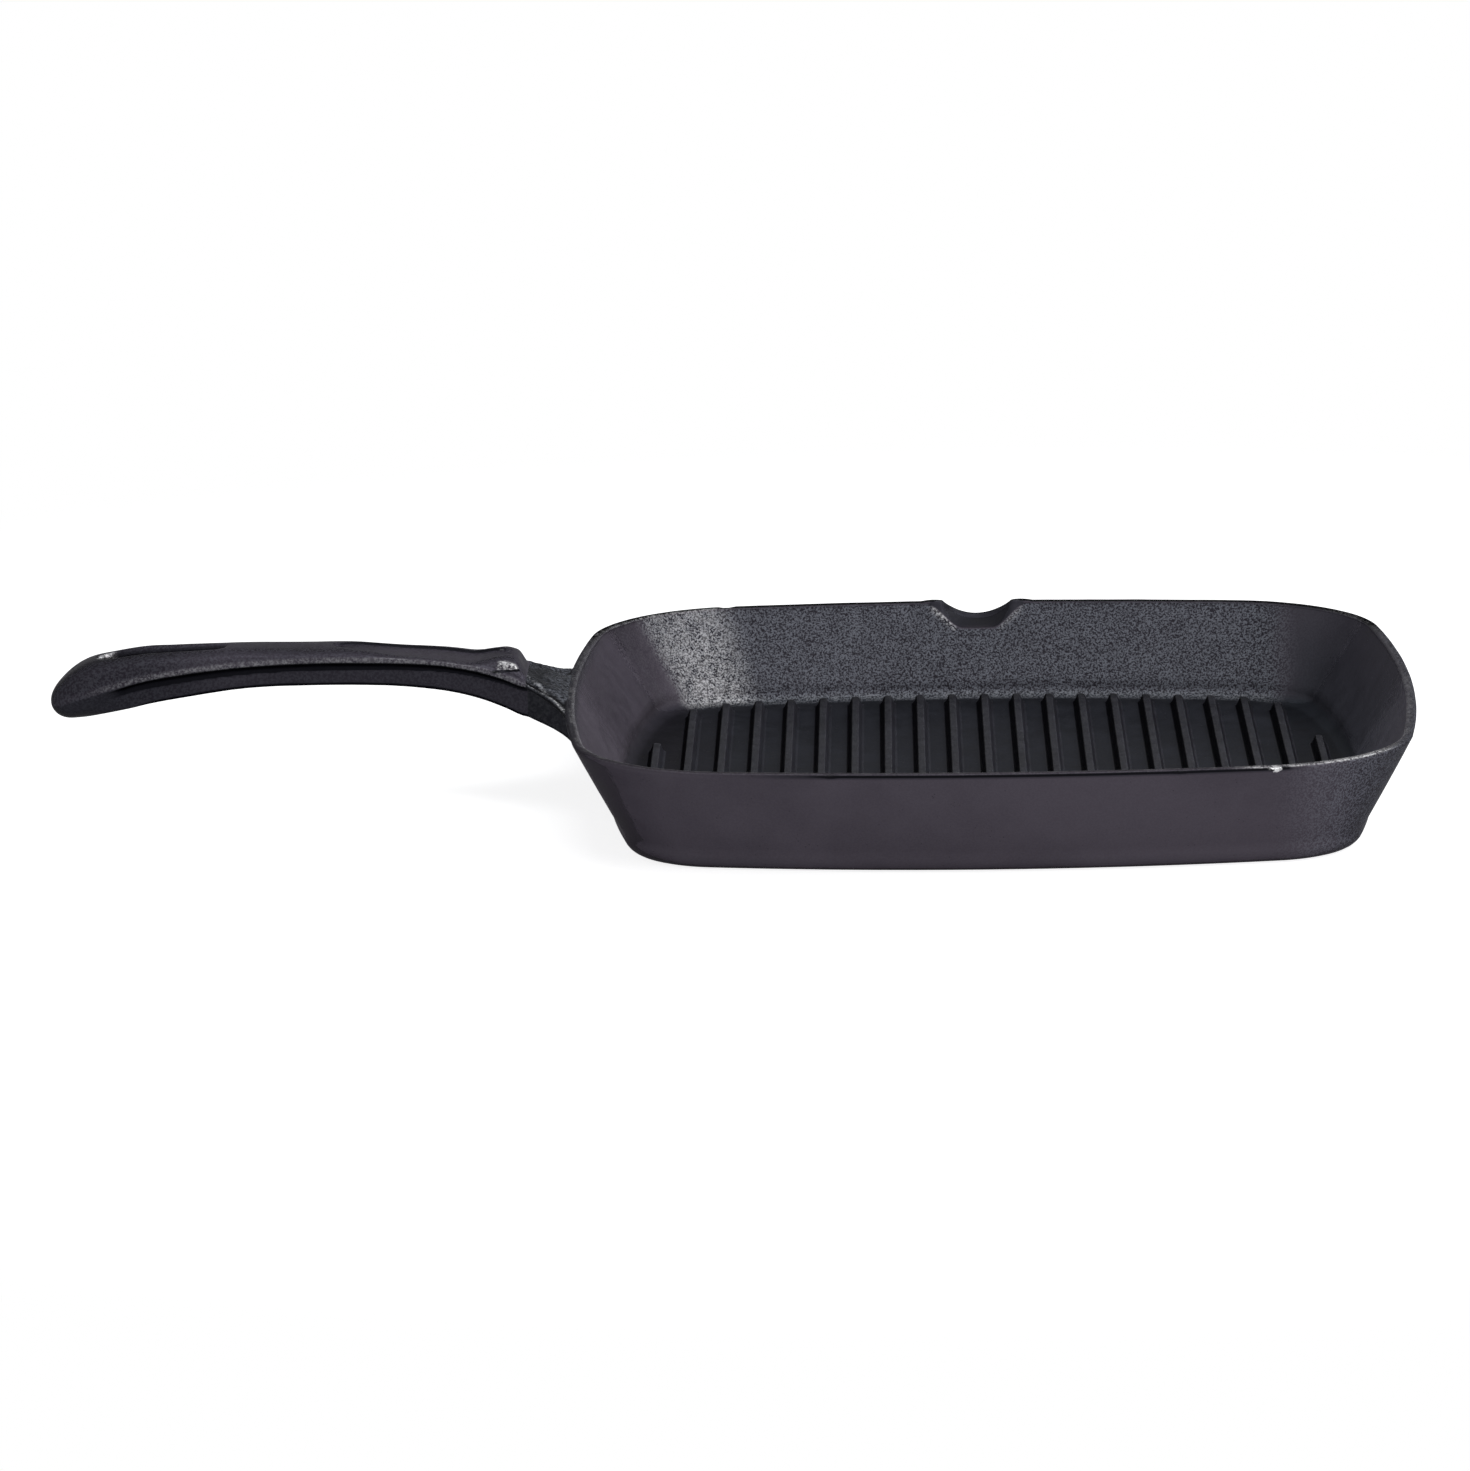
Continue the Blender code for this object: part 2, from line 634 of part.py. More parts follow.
def slot_outline(grow):
    """Teardrop of two arcs, the wide one nearest the tip, in plan."""
    wide = SLOT_WIDE_END / 2 + grow
    narrow = SLOT_NARROW_END / 2 + grow
    tip_end = -RIM_SIDE / 2 - HANDLE_REACH + SLOT_FROM_TIP
    wide_x = tip_end + SLOT_WIDE_END / 2
    narrow_x = tip_end + SLOT_LENGTH - SLOT_NARROW_END / 2
    lean = math.asin((wide - narrow) / (narrow_x - wide_x))
    points = []
    for centre, radius, start, end in (
        (wide_x, wide, math.pi / 2 - lean, 3 * math.pi / 2 + lean),
        (narrow_x, narrow, -math.pi / 2 + lean, math.pi / 2 - lean),
    ):
        for step in range(9):
            angle = mix(start, end, step / 8)
            points.append((centre + radius * math.cos(angle), radius * math.sin(angle)))
    return points


def hanging_slot_cutter():
    """A slot through the grip that widens towards both mouths."""
    slot_middle = HANDLE_REACH - SLOT_FROM_TIP - SLOT_LENGTH / 2
    edge = handle_edge(slot_middle)
    top = edge + handle_crown(slot_middle)
    bottom = edge - handle_depth(slot_middle)
    far = RIM_HEIGHT / 2
    rings = [
        flat_ring(slot_outline(SLOT_MOUTH), bottom - far),
        flat_ring(slot_outline(SLOT_MOUTH), bottom),
        flat_ring(slot_outline(0.0), bottom + WEB_ROUND),
        flat_ring(slot_outline(0.0), edge),
        flat_ring(slot_outline(SLOT_MOUTH), top),
        flat_ring(slot_outline(SLOT_MOUTH), top + far),
    ]
    return cutter("hanging_slot", rings)


def handle_grip():
    """From the foot of the step, over the lip and the thumb dish, to the round nose."""
    start = NECK_LENGTH + CLEARANCE / 2
    lip = [mix(start, NECK_LENGTH + STEP_LENGTH, share) for share in LIP_STEP_SHARES]
    nose_start = HANDLE_REACH - NOSE_LENGTH
    body = [mix(lip[-1], nose_start, (step / GRIP_STEPS) ** 1.2) for step in range(1, GRIP_STEPS + 1)]
    nose = [nose_start + NOSE_LENGTH * math.sin(math.radians(angle)) for angle in NOSE_ANGLES]
    places = lip + body + nose
    rings = [handle_ring(out) for out in places]
    rings.append([Vector((-RIM_SIDE / 2 - HANDLE_REACH, p.y, p.z)) for p in handle_ring(HANDLE_REACH)])
    material = iron("grip_iron", (0.034, 0.032, 0.036), 0.55)
    grip = loft("handle_grip", rings, material)
    cut(grip, hanging_slot_cutter())


clear_scene()
pan_body()
grill_ribs()
handle_neck()
handle_grip()
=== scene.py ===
"""Looks of the cast iron grill pan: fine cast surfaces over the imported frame, light, floor and camera.

Units are metres, +Z is up, and the origin is the centre of the flat underside, as in the frame.
The handle runs along -X, the ribs lie along Y, and the spout is in the middle of the +Y side.
Each region of the casting is a closed mesh. The ribs and the neck run a little into the pan's body, and
the neck and the grip meet at a cut, so no joint shows.
"""

import math

import bmesh
import bpy
import numpy as np
from mathutils import Matrix, Vector, noise


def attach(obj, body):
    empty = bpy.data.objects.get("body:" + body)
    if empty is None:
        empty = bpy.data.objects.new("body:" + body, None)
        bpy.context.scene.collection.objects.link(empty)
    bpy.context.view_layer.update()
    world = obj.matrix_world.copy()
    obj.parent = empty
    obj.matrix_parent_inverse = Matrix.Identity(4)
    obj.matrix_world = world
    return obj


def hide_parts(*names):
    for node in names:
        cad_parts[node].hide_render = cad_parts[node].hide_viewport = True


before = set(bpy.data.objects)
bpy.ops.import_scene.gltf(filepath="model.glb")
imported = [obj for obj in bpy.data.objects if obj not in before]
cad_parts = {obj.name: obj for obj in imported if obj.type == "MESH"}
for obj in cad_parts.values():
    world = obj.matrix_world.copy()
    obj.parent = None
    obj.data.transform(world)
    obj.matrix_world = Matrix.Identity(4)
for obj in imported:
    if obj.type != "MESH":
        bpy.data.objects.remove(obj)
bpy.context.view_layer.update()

MM = 0.001

# Pan body, the same sizes as the frame's
RIM_SIDE = 0.2600
RIM_HEIGHT = 0.0328
RIM_CORNER_RADIUS = 0.0510
RIM_SIDE_RADIUS = 0.6500
RIM_ROUND = 0.0010
RIM_WALL = 0.0032
FOOT_WALL = 0.0058
WALL_DRAFT = 0.0126
BASE_FILLET = 0.0058
BASE_CORNER_RADIUS = 0.0305
BASE_SIDE_RADIUS = 0.4970
FLOOR = 0.0040
FLOOR_FILLET = 0.0047
FLOOR_CORNER_RADIUS = 0.0280
FLOOR_SIDE_RADIUS = 0.4000

# Pouring spout
SPOUT_CENTRE_X = -0.0018
SPOUT_WIDTH = 0.0224
SPOUT_CREASE_WIDTH = 0.0320
SPOUT_CREASE_FLANK = 0.70
SPOUT_REACH = 0.0095
SPOUT_DIP = 0.0060
SPOUT_CREASE_DIP = 0.0070
SPOUT_CREASE_ROUND = 0.0010
SPOUT_CHIN = 0.0150
SPOUT_SHOULDER = 0.0004
SHOULDER_PLACE = 1.25  # as a share of half the lip
SHOULDER_REACH = 0.35

# Grill ribs
RIB_PITCH = 0.01035
RIB_FOOT = 0.0044
RIB_CREST = 0.0023
RIB_HEIGHT = 0.0029
RIB_EDGE_GAP = 0.0010
RIB_END_SLOPE = 0.0018
RIB_ROUND = 0.0006
RIB_FOOT_ROUND = 0.0012
RIB_SINK = 0.0006
SHORTEST_RIB = 0.0200

# Handle, with distances counted outwards from the rim's outer edge
HANDLE_REACH = 0.1590
HANDLE_START = -0.6 * WALL_DRAFT
ROOT_DEPTH = 0.45 * RIM_WALL
NECK_LENGTH = 0.0116
FLARE_RADIUS = 0.0260
FLARE_SINK = 0.0016
NECK_RISE = 0.0047
NECK_CROWN = 0.0021
STEP_CROWN = 0.0007
NECK_GROOVE = 0.0012
GROOVE_PLACE = 0.74
GROOVE_HALF_WIDTH = 0.19
NECK_DEPTH = 0.0130
NECK_WEB_WIDTH = 0.0240
STEP_LENGTH = 0.0036
LIP_HEIGHT = 0.0034
LIP_BLOCK_WIDTH = 0.0250
LIP_BLOCK_LENGTH = 0.0180
LIP_SHOULDER = 0.0020
LIP_LINE = 0.0411  # height of the line under the lip's block
THUMB_CROWN = 0.0010
GRIP_RISE = 0.0115
GRIP_WIDTH = 0.0220
LIP_WIDTH = 0.0290
TIP_WIDTH = 0.0270
GRIP_CROWN = 0.0028
TIP_CROWN = 0.0103
CROWN_POWER = 3.0
GRIP_DEPTH = 0.0092
WEB_WIDTH = 0.0100
FLANGE_EDGE = 0.0016
UNDERCUT_FILLET = 0.0026
WEB_ROUND = 0.0020
DISH_DEPTH = 0.0009
DISH_START = 0.0165
DISH_LENGTH = 0.0545
DISH_WIDTH = 0.78
DISH_FLAT = 0.7
NOSE_LENGTH = 0.0150
BULB_LENGTH = 0.0280
BULB_HASTE = 1.4
NOSE_DROP = 0.0021

# Hanging slot
SLOT_FROM_TIP = 0.0155
SLOT_LENGTH = 0.0385
SLOT_WIDE_END = 0.0095
SLOT_NARROW_END = 0.0065
SLOT_MOUTH = 0.0016
SLOT_WIDE_X = -RIM_SIDE / 2 - HANDLE_REACH + SLOT_FROM_TIP + SLOT_WIDE_END / 2
SLOT_NARROW_X = -RIM_SIDE / 2 - HANDLE_REACH + SLOT_FROM_TIP + SLOT_LENGTH - SLOT_NARROW_END / 2

# Fineness of the meshes: steps along each stretch, the handle's voxels, and rounds of smoothing
SIDE_STEPS = 120
SPOUT_SIDE_STEPS = 210
CORNER_STEPS = 40
ROUND_STEPS = 6
FILLET_STEPS = 8
SLOT_STEPS = 24
RIB_SIDE_STEPS = 64
RIB_END_STEPS = 10
TOP_STEPS = 30
ROOT_STEPS = 12
FLARE_STEPS = 30
CLIMB_STEPS = 14
GRIP_STEPS = 120
NOSE_STEPS = 16
HANDLE_VOXEL = 0.00042
SMOOTH_ROUNDS = 6
NECK_ROOT_ROUNDS = 40

# The stretch of wall that the neck grows out of
PATCH_WIDTH = 0.1240
PATCH_SINK = 0.00012
PATCH_DEPTH = 0.75 * RIM_WALL
PATCH_STEPS_ACROSS = 90
PATCH_STEPS_UP = 24

# Unevenness of the sand casting
WAVE_SIZE = 0.012
WAVE_DEPTH = 0.00008
WAVE_TOP = 0.6  # where the noise is at least this, the surface keeps its drawn size
NECK_BUMP_SIZE = 0.0042
NECK_BUMP_DEPTH = 0.00045

# Places along the rim of its knocks: x, side of the pan (-1 is the near one), size and depth
RIM_CHIPS = (
    (0.0820, -1, 0.0020, 0.0006),
    (0.0540, -1, 0.0022, 0.0002),
    (-0.0480, -1, 0.0026, 0.0003),
    (-0.0830, 1, 0.0030, 0.0004),
)


def mix(a, b, share):
    return a + (b - a) * share


def clamp(value, low=0.0, high=1.0):
    return np.minimum(np.maximum(value, low), high)


def ease(value, low=0.0, high=1.0):
    """0 below low, 1 above high, with a smooth change between."""
    t = clamp((value - low) / (high - low))
    return t * t * (3 - 2 * t)


def fade(value, low, high):
    """1 below low, 0 above high, with a smooth change between."""
    return 1 - ease(value, low, high)


def band(value, low, high, edge):
    """1 between low and high, easing to 0 over the given edge on both sides."""
    return ease(value, low - edge, low) * fade(value, high, high + edge)


def quarter_turn(steps):
    """Sine and cosine at even steps through a right angle, both ends included."""
    angles = [math.pi / 2 * step / steps for step in range(steps + 1)]
    return [(math.sin(angle), math.cos(angle)) for angle in angles]


def curve(start, corner, end, steps):
    """From start to end, bending towards corner; each may be one point or a whole ring."""
    shares = [step / steps for step in range(steps + 1)]
    return [(1 - t) ** 2 * start + 2 * t * (1 - t) * corner + t * t * end for t in shares]


def between(a, b, *knots):
    """Knots whose values are given as shares of the way from a to b."""
    return [(at, mix(a, b, share)) for at, share in knots]


def smooth_through(knots, at):
    """Height of a smooth curve through (position, value) knots: cubic, level at both ends."""
    if at <= knots[0][0]:
        return knots[0][1]
    if at >= knots[-1][0]:
        return knots[-1][1]
    last = len(knots) - 1

    def slope(i):
        if i in (0, last):
            return 0.0
        (x0, y0), (x1, y1) = knots[i - 1], knots[i + 1]
        return (y1 - y0) / (x1 - x0)

    i = max(n for n in range(last) if knots[n][0] <= at)
    (x0, y0), (x1, y1) = knots[i], knots[i + 1]
    span = x1 - x0
    t = (at - x0) / span
    start = (1 + 2 * t) * (1 - t) ** 2 * y0 + t * (1 - t) ** 2 * span * slope(i)
    end = t * t * (3 - 2 * t) * y1 + t * t * (t - 1) * span * slope(i + 1)
    return start + end


# Meshes


def add_object(name, data):
    """An object in the scene that holds a mesh, a lamp or a camera."""
    added = bpy.data.objects.new(name, data)
    bpy.context.scene.collection.objects.link(added)
    return added


def piece_from(shape, mesh):
    """A piece whose mesh is the given shape, with its faces turned outwards and shaded smooth."""
    bmesh.ops.recalc_face_normals(shape, faces=shape.faces)
    shape.to_mesh(mesh)
    shape.free()
    mesh.shade_smooth()
    return add_object(mesh.name, mesh)


def loft_faces(rows, columns):
    """Quads between neighbouring rings of equally many points."""
    faces = []
    for row in range(rows - 1):
        low, high = row * columns, (row + 1) * columns
        for i in range(columns):
            j = (i + 1) % columns
            faces.append((low + i, low + j, high + j, high + i))
    return faces


def strip_faces(first, columns):
    """A cap across a long ring that is symmetric about its first point's axis."""
    faces = []
    for i in range(columns // 2):
        across = (first + (columns - i - 1) % columns, first + (columns - i) % columns)
        corners = list(dict.fromkeys((first + i, first + i + 1, *across)))
        if len(corners) > 2:
            faces.append(tuple(corners))
    return faces


def lofted(name, rings, *caps):
    """A piece lofted through rings of equally many points, with a cap for its start and one for its end.

    A cap is a point that the end closes to, "flat" for one face, or "across" for strips.
    """
    columns = len(rings[0])
    points = np.concatenate(rings)
    faces = loft_faces(len(rings), columns)
    for cap, first in zip(caps, (0, len(points) - columns)):
        if cap == "flat":
            faces.append(tuple(range(first, first + columns)))
        elif cap == "across":
            faces += strip_faces(first, columns)
        else:
            faces += [(first + i, first + (i + 1) % columns, len(points)) for i in range(columns)]
            points = np.vstack([points, cap])
    mesh = bpy.data.meshes.new(name)
    mesh.from_pydata([tuple(point) for point in points], [], faces)
    shape = bmesh.new()
    shape.from_mesh(mesh)
    return piece_from(shape, mesh)


def rounded_line(corners, radii, steps):
    """A line through the corners, as (x, z) points, whose inner corners are rounded off."""
    corners = [np.array(corner, float) for corner in corners]
    points = [corners[0]]
    for before, corner, after, radius in zip(corners, corners[1:], corners[2:], radii):
        back, ahead = before - corner, after - corner
        back_length, ahead_length = np.linalg.norm(back), np.linalg.norm(ahead)
        back, ahead = back / back_length, ahead / ahead_length
        half_angle = math.acos(float(clamp(back @ ahead, -1, 1))) / 2
        reach = min(radius / math.tan(half_angle), 0.48 * back_length, 0.48 * ahead_length)
        points += curve(corner + back * reach, corner, corner + ahead * reach, steps)
    return points + [corners[-1]]


def vectors_of(piece, kind):
    """The place ("co") or the normal ("normal") of each point of a piece, one row each."""
    values = np.empty(len(piece.data.vertices) * 3, np.float32)
    piece.data.vertices.foreach_get(kind, values)
    return values.reshape(-1, 3).astype(float)


def move_points(piece, points):
    piece.data.vertices.foreach_set("co", points.astype(np.float32).ravel())
    piece.data.update()


def waves(points, size, seed):
    """Smooth noise from -1 to 1 with features of the given size."""
    shift = Vector((seed, 2.7 * seed, -1.3 * seed))
    return np.array([noise.noise(Vector(p) / size + shift) for p in points])


def uneven(piece, depth, weight=1.0, size=WAVE_SIZE):
    """Pushes the surface in along its normals by smooth noise, never past its drawn size."""
    points = vectors_of(piece, "co")
    rough = 0.65 * waves(points, size, 3.1) + 0.35 * waves(points, size / 3, 7.7)
    push = depth * weight * (np.minimum(rough, WAVE_TOP) - WAVE_TOP)
    move_points(piece, points + vectors_of(piece, "normal") * push[:, None])


def paint(piece, name, values):
    attribute = piece.data.attributes.new(name, "FLOAT", "POINT")
    attribute.data.foreach_set("value", np.broadcast_to(values, len(piece.data.vertices)).astype(np.float32))


# Pan body


def corner_of(half, side_radius, corner_radius):
    """Where a corner's arc has its centre, and the angle at which it meets the bowed side."""
    back = side_radius - half
    gap = side_radius - corner_radius
    centre = (math.sqrt(2 * gap * gap - back * back) - back) / 2
    return centre, math.atan2(centre, centre + side_radius - half)


def outline(half, side_radius, corner_radius):
    """Points (x, y) round a square with bowed sides and round corners, counterclockwise from +X's low end."""
    centre, turn = corner_of(half, side_radius, corner_radius)
    reach = side_radius * math.sin(turn)
    quarters = []
    for quarter in range(4):
        steps = SPOUT_SIDE_STEPS if quarter == 1 else SIDE_STEPS
        along = np.linspace(-reach, reach, steps, endpoint=False)
        side = np.stack([half - side_radius + np.sqrt(side_radius**2 - along**2), along], 1)
        at = np.linspace(turn, math.pi / 2 - turn, CORNER_STEPS, endpoint=False)
        corner = centre + corner_radius * np.stack([np.cos(at), np.sin(at)], 1)
        angle = quarter * math.pi / 2
        cos, sin = round(math.cos(angle)), round(math.sin(angle))
        quarters.append(np.concatenate([side, corner]) @ np.array([[cos, sin], [-sin, cos]]))
    return np.concatenate(quarters)


def wall_share(z):
    """0 where the base's fillet ends, 1 where the rim's rounding starts."""
    return (z - BASE_FILLET) / (RIM_HEIGHT - RIM_ROUND - BASE_FILLET)


def wall_sizes(share, inset):
    """The half side, side radius and corner radius of the wall's outline, moved in by inset."""
    half = RIM_SIDE / 2 - WALL_DRAFT * (1 - share) - inset
    side_radius = mix(BASE_SIDE_RADIUS, RIM_SIDE_RADIUS, share) - inset
    corner_radius = mix(BASE_CORNER_RADIUS, RIM_CORNER_RADIUS, share) - inset
    return half, side_radius, corner_radius


def floor_sizes(share=1.0):
    """The same for the inner outline, from the foot of the wall (0) to the edge of the flat floor (1)."""
    top = FLOOR + FLOOR_FILLET
    half, side_radius, corner_radius = wall_sizes(wall_share(top), wall_thickness(top))
    side_radius = mix(side_radius, FLOOR_SIDE_RADIUS, share)
    return half - FLOOR_FILLET * share, side_radius, mix(corner_radius, FLOOR_CORNER_RADIUS, share)


def wall_outline(z, inset=0.0):
    return outline(*wall_sizes(min(1.0, wall_share(z)), inset))


def wall_thickness(z):
    return mix(FOOT_WALL, RIM_WALL, min(1.0, wall_share(z)))


def ring(flat, z):
    return np.column_stack([flat, np.full(len(flat), z)])


def inner_ring(z):
    return ring(wall_outline(z, wall_thickness(z)), z)


def lip_share(x):
    """1 in the middle of the spout's lip, falling to 0 at its ends."""
    across = (x - SPOUT_CENTRE_X) / (SPOUT_WIDTH / 2)
    return clamp(1 - across * across)


def crease_share(x):
    """1 over the level middle of the spout's channel, easing to 0 at its ends."""
    across = np.abs(x - SPOUT_CENTRE_X) / (SPOUT_CREASE_WIDTH / 2)
    return ease((1 - across) / SPOUT_CREASE_FLANK)


def lip_ring(z, inset, share=1.0):
    """A ring of the rim, carried out and down at the spout; share fades that out down the wall."""
    points = ring(wall_outline(z, inset), z)
    back = points[:, 1] > 0
    pull = back * lip_share(points[:, 0]) * share
    across = np.abs(points[:, 0] - SPOUT_CENTRE_X) / (SPOUT_WIDTH / 2)
    shoulder = back * SPOUT_SHOULDER * clamp(1 - ((across - SHOULDER_PLACE) / SHOULDER_REACH) ** 2)
    points[:, 1] += SPOUT_REACH * pull
    points[:, 2] += shoulder * share - SPOUT_DIP * pull
    return points


def crease_ring(z, inset):
    """The ring inside the wall where the spout's channel starts."""
    points = ring(wall_outline(z, inset), z)
    slope = (WALL_DRAFT + FOOT_WALL - RIM_WALL) / (RIM_HEIGHT - RIM_ROUND - BASE_FILLET)
    drop = np.where(points[:, 1] > 0, SPOUT_CREASE_DIP * crease_share(points[:, 0]), 0.0)
    points[:, 1] -= drop * slope
    points[:, 2] -= drop
    return points


def rounded_rows(first, corner, last, radius, before, across, after):
    """Rings from first over corner to last, with the corner ring rounded off."""
    back, ahead = first - corner, last - corner
    back_length = np.linalg.norm(back, axis=1, keepdims=True)
    ahead_length = np.linalg.norm(ahead, axis=1, keepdims=True)
    reach = np.minimum(radius, 0.45 * np.minimum(back_length, ahead_length))
    start = corner + back / back_length * reach
    end = corner + ahead / ahead_length * reach
    rows = [mix(first, start, step / before) for step in range(1, before)]
    rows += curve(start, corner, end, across)
    rows += [mix(end, last, step / after) for step in range(1, after + 1)]
    return rows


def base_rows():
    half = RIM_SIDE / 2 - WALL_DRAFT
    edge = outline(half - BASE_FILLET, BASE_SIDE_RADIUS, BASE_CORNER_RADIUS - BASE_FILLET)
    rows = [ring(edge * share, 0.0) for share in (0.25, 0.5, 0.75, 0.93)]
    for sin, cos in quarter_turn(FILLET_STEPS):
        inset = BASE_FILLET * (1 - sin)
        flat = outline(half - inset, BASE_SIDE_RADIUS, BASE_CORNER_RADIUS - inset)
        rows.append(ring(flat, BASE_FILLET * (1 - cos)))
    return rows


def outer_rows():
    chin = RIM_HEIGHT - SPOUT_CHIN
    top = RIM_HEIGHT - RIM_ROUND
    rows = [ring(wall_outline(z), z) for z in np.linspace(BASE_FILLET, chin, 9)[1:]]
    for z in np.linspace(chin, top, 16)[1:]:
        rows.append(lip_ring(z, 0.0, ((z - chin) / (top - chin)) ** 1.6))
    return rows


def rim_rows():
    turn = quarter_turn(ROUND_STEPS)
    rows = [lip_ring(RIM_HEIGHT - RIM_ROUND * (1 - sin), RIM_ROUND * (1 - cos)) for sin, cos in turn[1:]]
    flat_top = RIM_WALL - 2 * RIM_ROUND
    rows += [lip_ring(RIM_HEIGHT, RIM_ROUND + flat_top * share) for share in (0.33, 0.67)]
    for sin, cos in turn[:-1]:
        rows.append(lip_ring(RIM_HEIGHT - RIM_ROUND * (1 - cos), RIM_WALL - RIM_ROUND * (1 - sin)))
    return rows


def inner_rows(edge):
    chin = RIM_HEIGHT - SPOUT_CHIN
    crease = crease_ring(RIM_HEIGHT - RIM_ROUND, RIM_WALL)
    rows = rounded_rows(edge, crease, inner_ring(chin), SPOUT_CREASE_ROUND, 4, 6, 6)
    rows += [inner_ring(z) for z in np.linspace(chin, FLOOR + FLOOR_FILLET, 6)[1:-1]]
    return rows


def floor_rows():
    rows = []
    for sin, cos in quarter_turn(FILLET_STEPS):
        rows.append(ring(outline(*floor_sizes(1 - cos)), FLOOR + FLOOR_FILLET * (1 - sin)))
    edge = outline(*floor_sizes())
    rows += [ring(edge * share, FLOOR) for share in (0.96, 0.88, 0.76, 0.6, 0.4, 0.2)]
    return rows


def pan_body():
    rows = base_rows() + outer_rows() + rim_rows()
    rows += inner_rows(rows[-1])
    rows += floor_rows()
    body = lofted("cast_body", rows, (0, 0, 0), (0, 0, FLOOR))
    height = vectors_of(body, "co")[:, 2]
    uneven(body, WAVE_DEPTH, ease(height, FLOOR + 0.2 * MM, FLOOR + 2 * MM) * ease(height, 1 * MM, 3 * MM))
    chip_rim(body)
    finish_piece(body, "pan", "pan_body")


def rim_line(x):
    """Distance from the pan's middle to the outer edge of its bowed near or far side."""
    return RIM_SIDE / 2 - RIM_SIDE_RADIUS + np.sqrt(RIM_SIDE_RADIUS**2 - x * x)


def chip_rim(body):
    """Small dents that knocks have left on the rim's outer edge."""
    points = vectors_of(body, "co")
    for x, side, size, depth in RIM_CHIPS:
        away = np.linalg.norm(points - np.array([x, side * rim_line(x), RIM_HEIGHT]), axis=1)
        dent = clamp(1 - (away / size) ** 2)
        points[:, 2] -= depth * dent
        points[:, 1] -= side * 0.6 * depth * dent
    move_points(body, points)


# Ribs


def rib_half_length(x):
    """Half the distance across the flat floor at x, less the gap at its edge."""
    half, side_radius, corner_radius = (size - RIB_EDGE_GAP for size in floor_sizes())
    centre, turn = corner_of(half, side_radius, corner_radius)
    if x <= side_radius * math.sin(turn):
        return half - side_radius + math.sqrt(side_radius**2 - x * x)
    if x <= centre + corner_radius * math.cos(turn):
        return centre + math.sqrt(corner_radius**2 - (x - centre) ** 2)
    if x < half:
        return math.sqrt(side_radius**2 - (x - half + side_radius) ** 2)
    return 0.0


def stadium(half_width, half_length):
    """A long ring round the Y axis, from the middle of its +Y end."""
    straight = half_length - half_width
    quarter = np.linspace(0, math.pi / 2, RIB_END_STEPS)
    end = np.stack([half_width * np.sin(quarter), straight + half_width * np.cos(quarter)], 1)
    along = np.linspace(straight, -straight, RIB_SIDE_STEPS)[1:-1]
    side = np.stack([np.full(len(along), half_width), along], 1)
    right = np.concatenate([end, side, (end * (1, -1))[::-1]])
    left = right[1:-1][::-1] * (-1, 1)
    return np.concatenate([right, left])


def rib(name, x, half_length):
    """A bar with a round crest and sloping ends, whose foot runs out in a fillet just under the floor."""
    skirt = RIB_FOOT / 2 + 1.8 * RIB_FOOT_ROUND
    corners = [(skirt, -0.05 * MM), (RIB_FOOT / 2, 0.0), (RIB_CREST / 2, RIB_HEIGHT), (0.1 * MM, RIB_HEIGHT)]
    profile = [(skirt, -RIB_SINK)] + rounded_line(corners, (RIB_FOOT_ROUND, RIB_ROUND), ROUND_STEPS)
    end_slope = RIB_END_SLOPE / (RIB_FOOT / 2 - RIB_CREST / 2)
    rows = []
    for half_width, height in profile:
        beyond = half_width - RIB_FOOT / 2
        length = half_length + beyond * (1.0 if beyond > 0 else end_slope)
        rows.append(ring(stadium(half_width, length) + (x, 0.0), FLOOR + height))
    bar = lofted("cast_" + name, rows, "across", "across")
    height = vectors_of(bar, "co")[:, 2]
    uneven(bar, 0.8 * WAVE_DEPTH, ease(height, FLOOR + 0.6 * MM, FLOOR + 2 * MM))
    finish_piece(bar, "rib", name)


def grill_ribs():
    most = int((floor_sizes()[0] - RIB_FOOT / 2) / RIB_PITCH)
    places = [i * RIB_PITCH for i in range(-most, most + 1)]
    places = [x for x in places if 2 * rib_half_length(abs(x) + RIB_FOOT / 2) > SHORTEST_RIB]
    for number, x in enumerate(places, 1):
        rib(f"rib_{number:02d}", x, rib_half_length(abs(x) + RIB_FOOT / 2))


# Handle


def along_grip(out):
    """0 at the foot of the step, 1 at the tip."""
    return (out - NECK_LENGTH) / (HANDLE_REACH - NECK_LENGTH)


def along_neck(out):
    """Share of the neck's length, from where it leaves the rim (0) to the foot of the step (1)."""
    return min(1.0, max(0.0, out + FLARE_SINK) / (NECK_LENGTH + FLARE_SINK))


def handle_edge(out):
    """Height of the widest line of the handle."""
    start = RIM_HEIGHT + NECK_RISE
    if out <= NECK_LENGTH:
        return mix(RIM_HEIGHT - NECK_CROWN, start, along_neck(out) ** 0.85)
    crest = RIM_HEIGHT + GRIP_RISE
    nose = RIM_HEIGHT - NOSE_DROP
    knots = between(start, crest, (0.0, 0.0), (0.05, 0.30), (0.12, 0.68), (0.20, 0.91), (0.35, 1.0))
    knots += between(crest, nose, (0.45, 0.0), (0.57, 0.05), (0.66, 0.13), (0.74, 0.235), (0.80, 0.34))
    knots += between(crest, nose, (0.87, 0.53), (0.94, 0.76), (1.0, 1.0))
    return smooth_through(knots, along_grip(out))


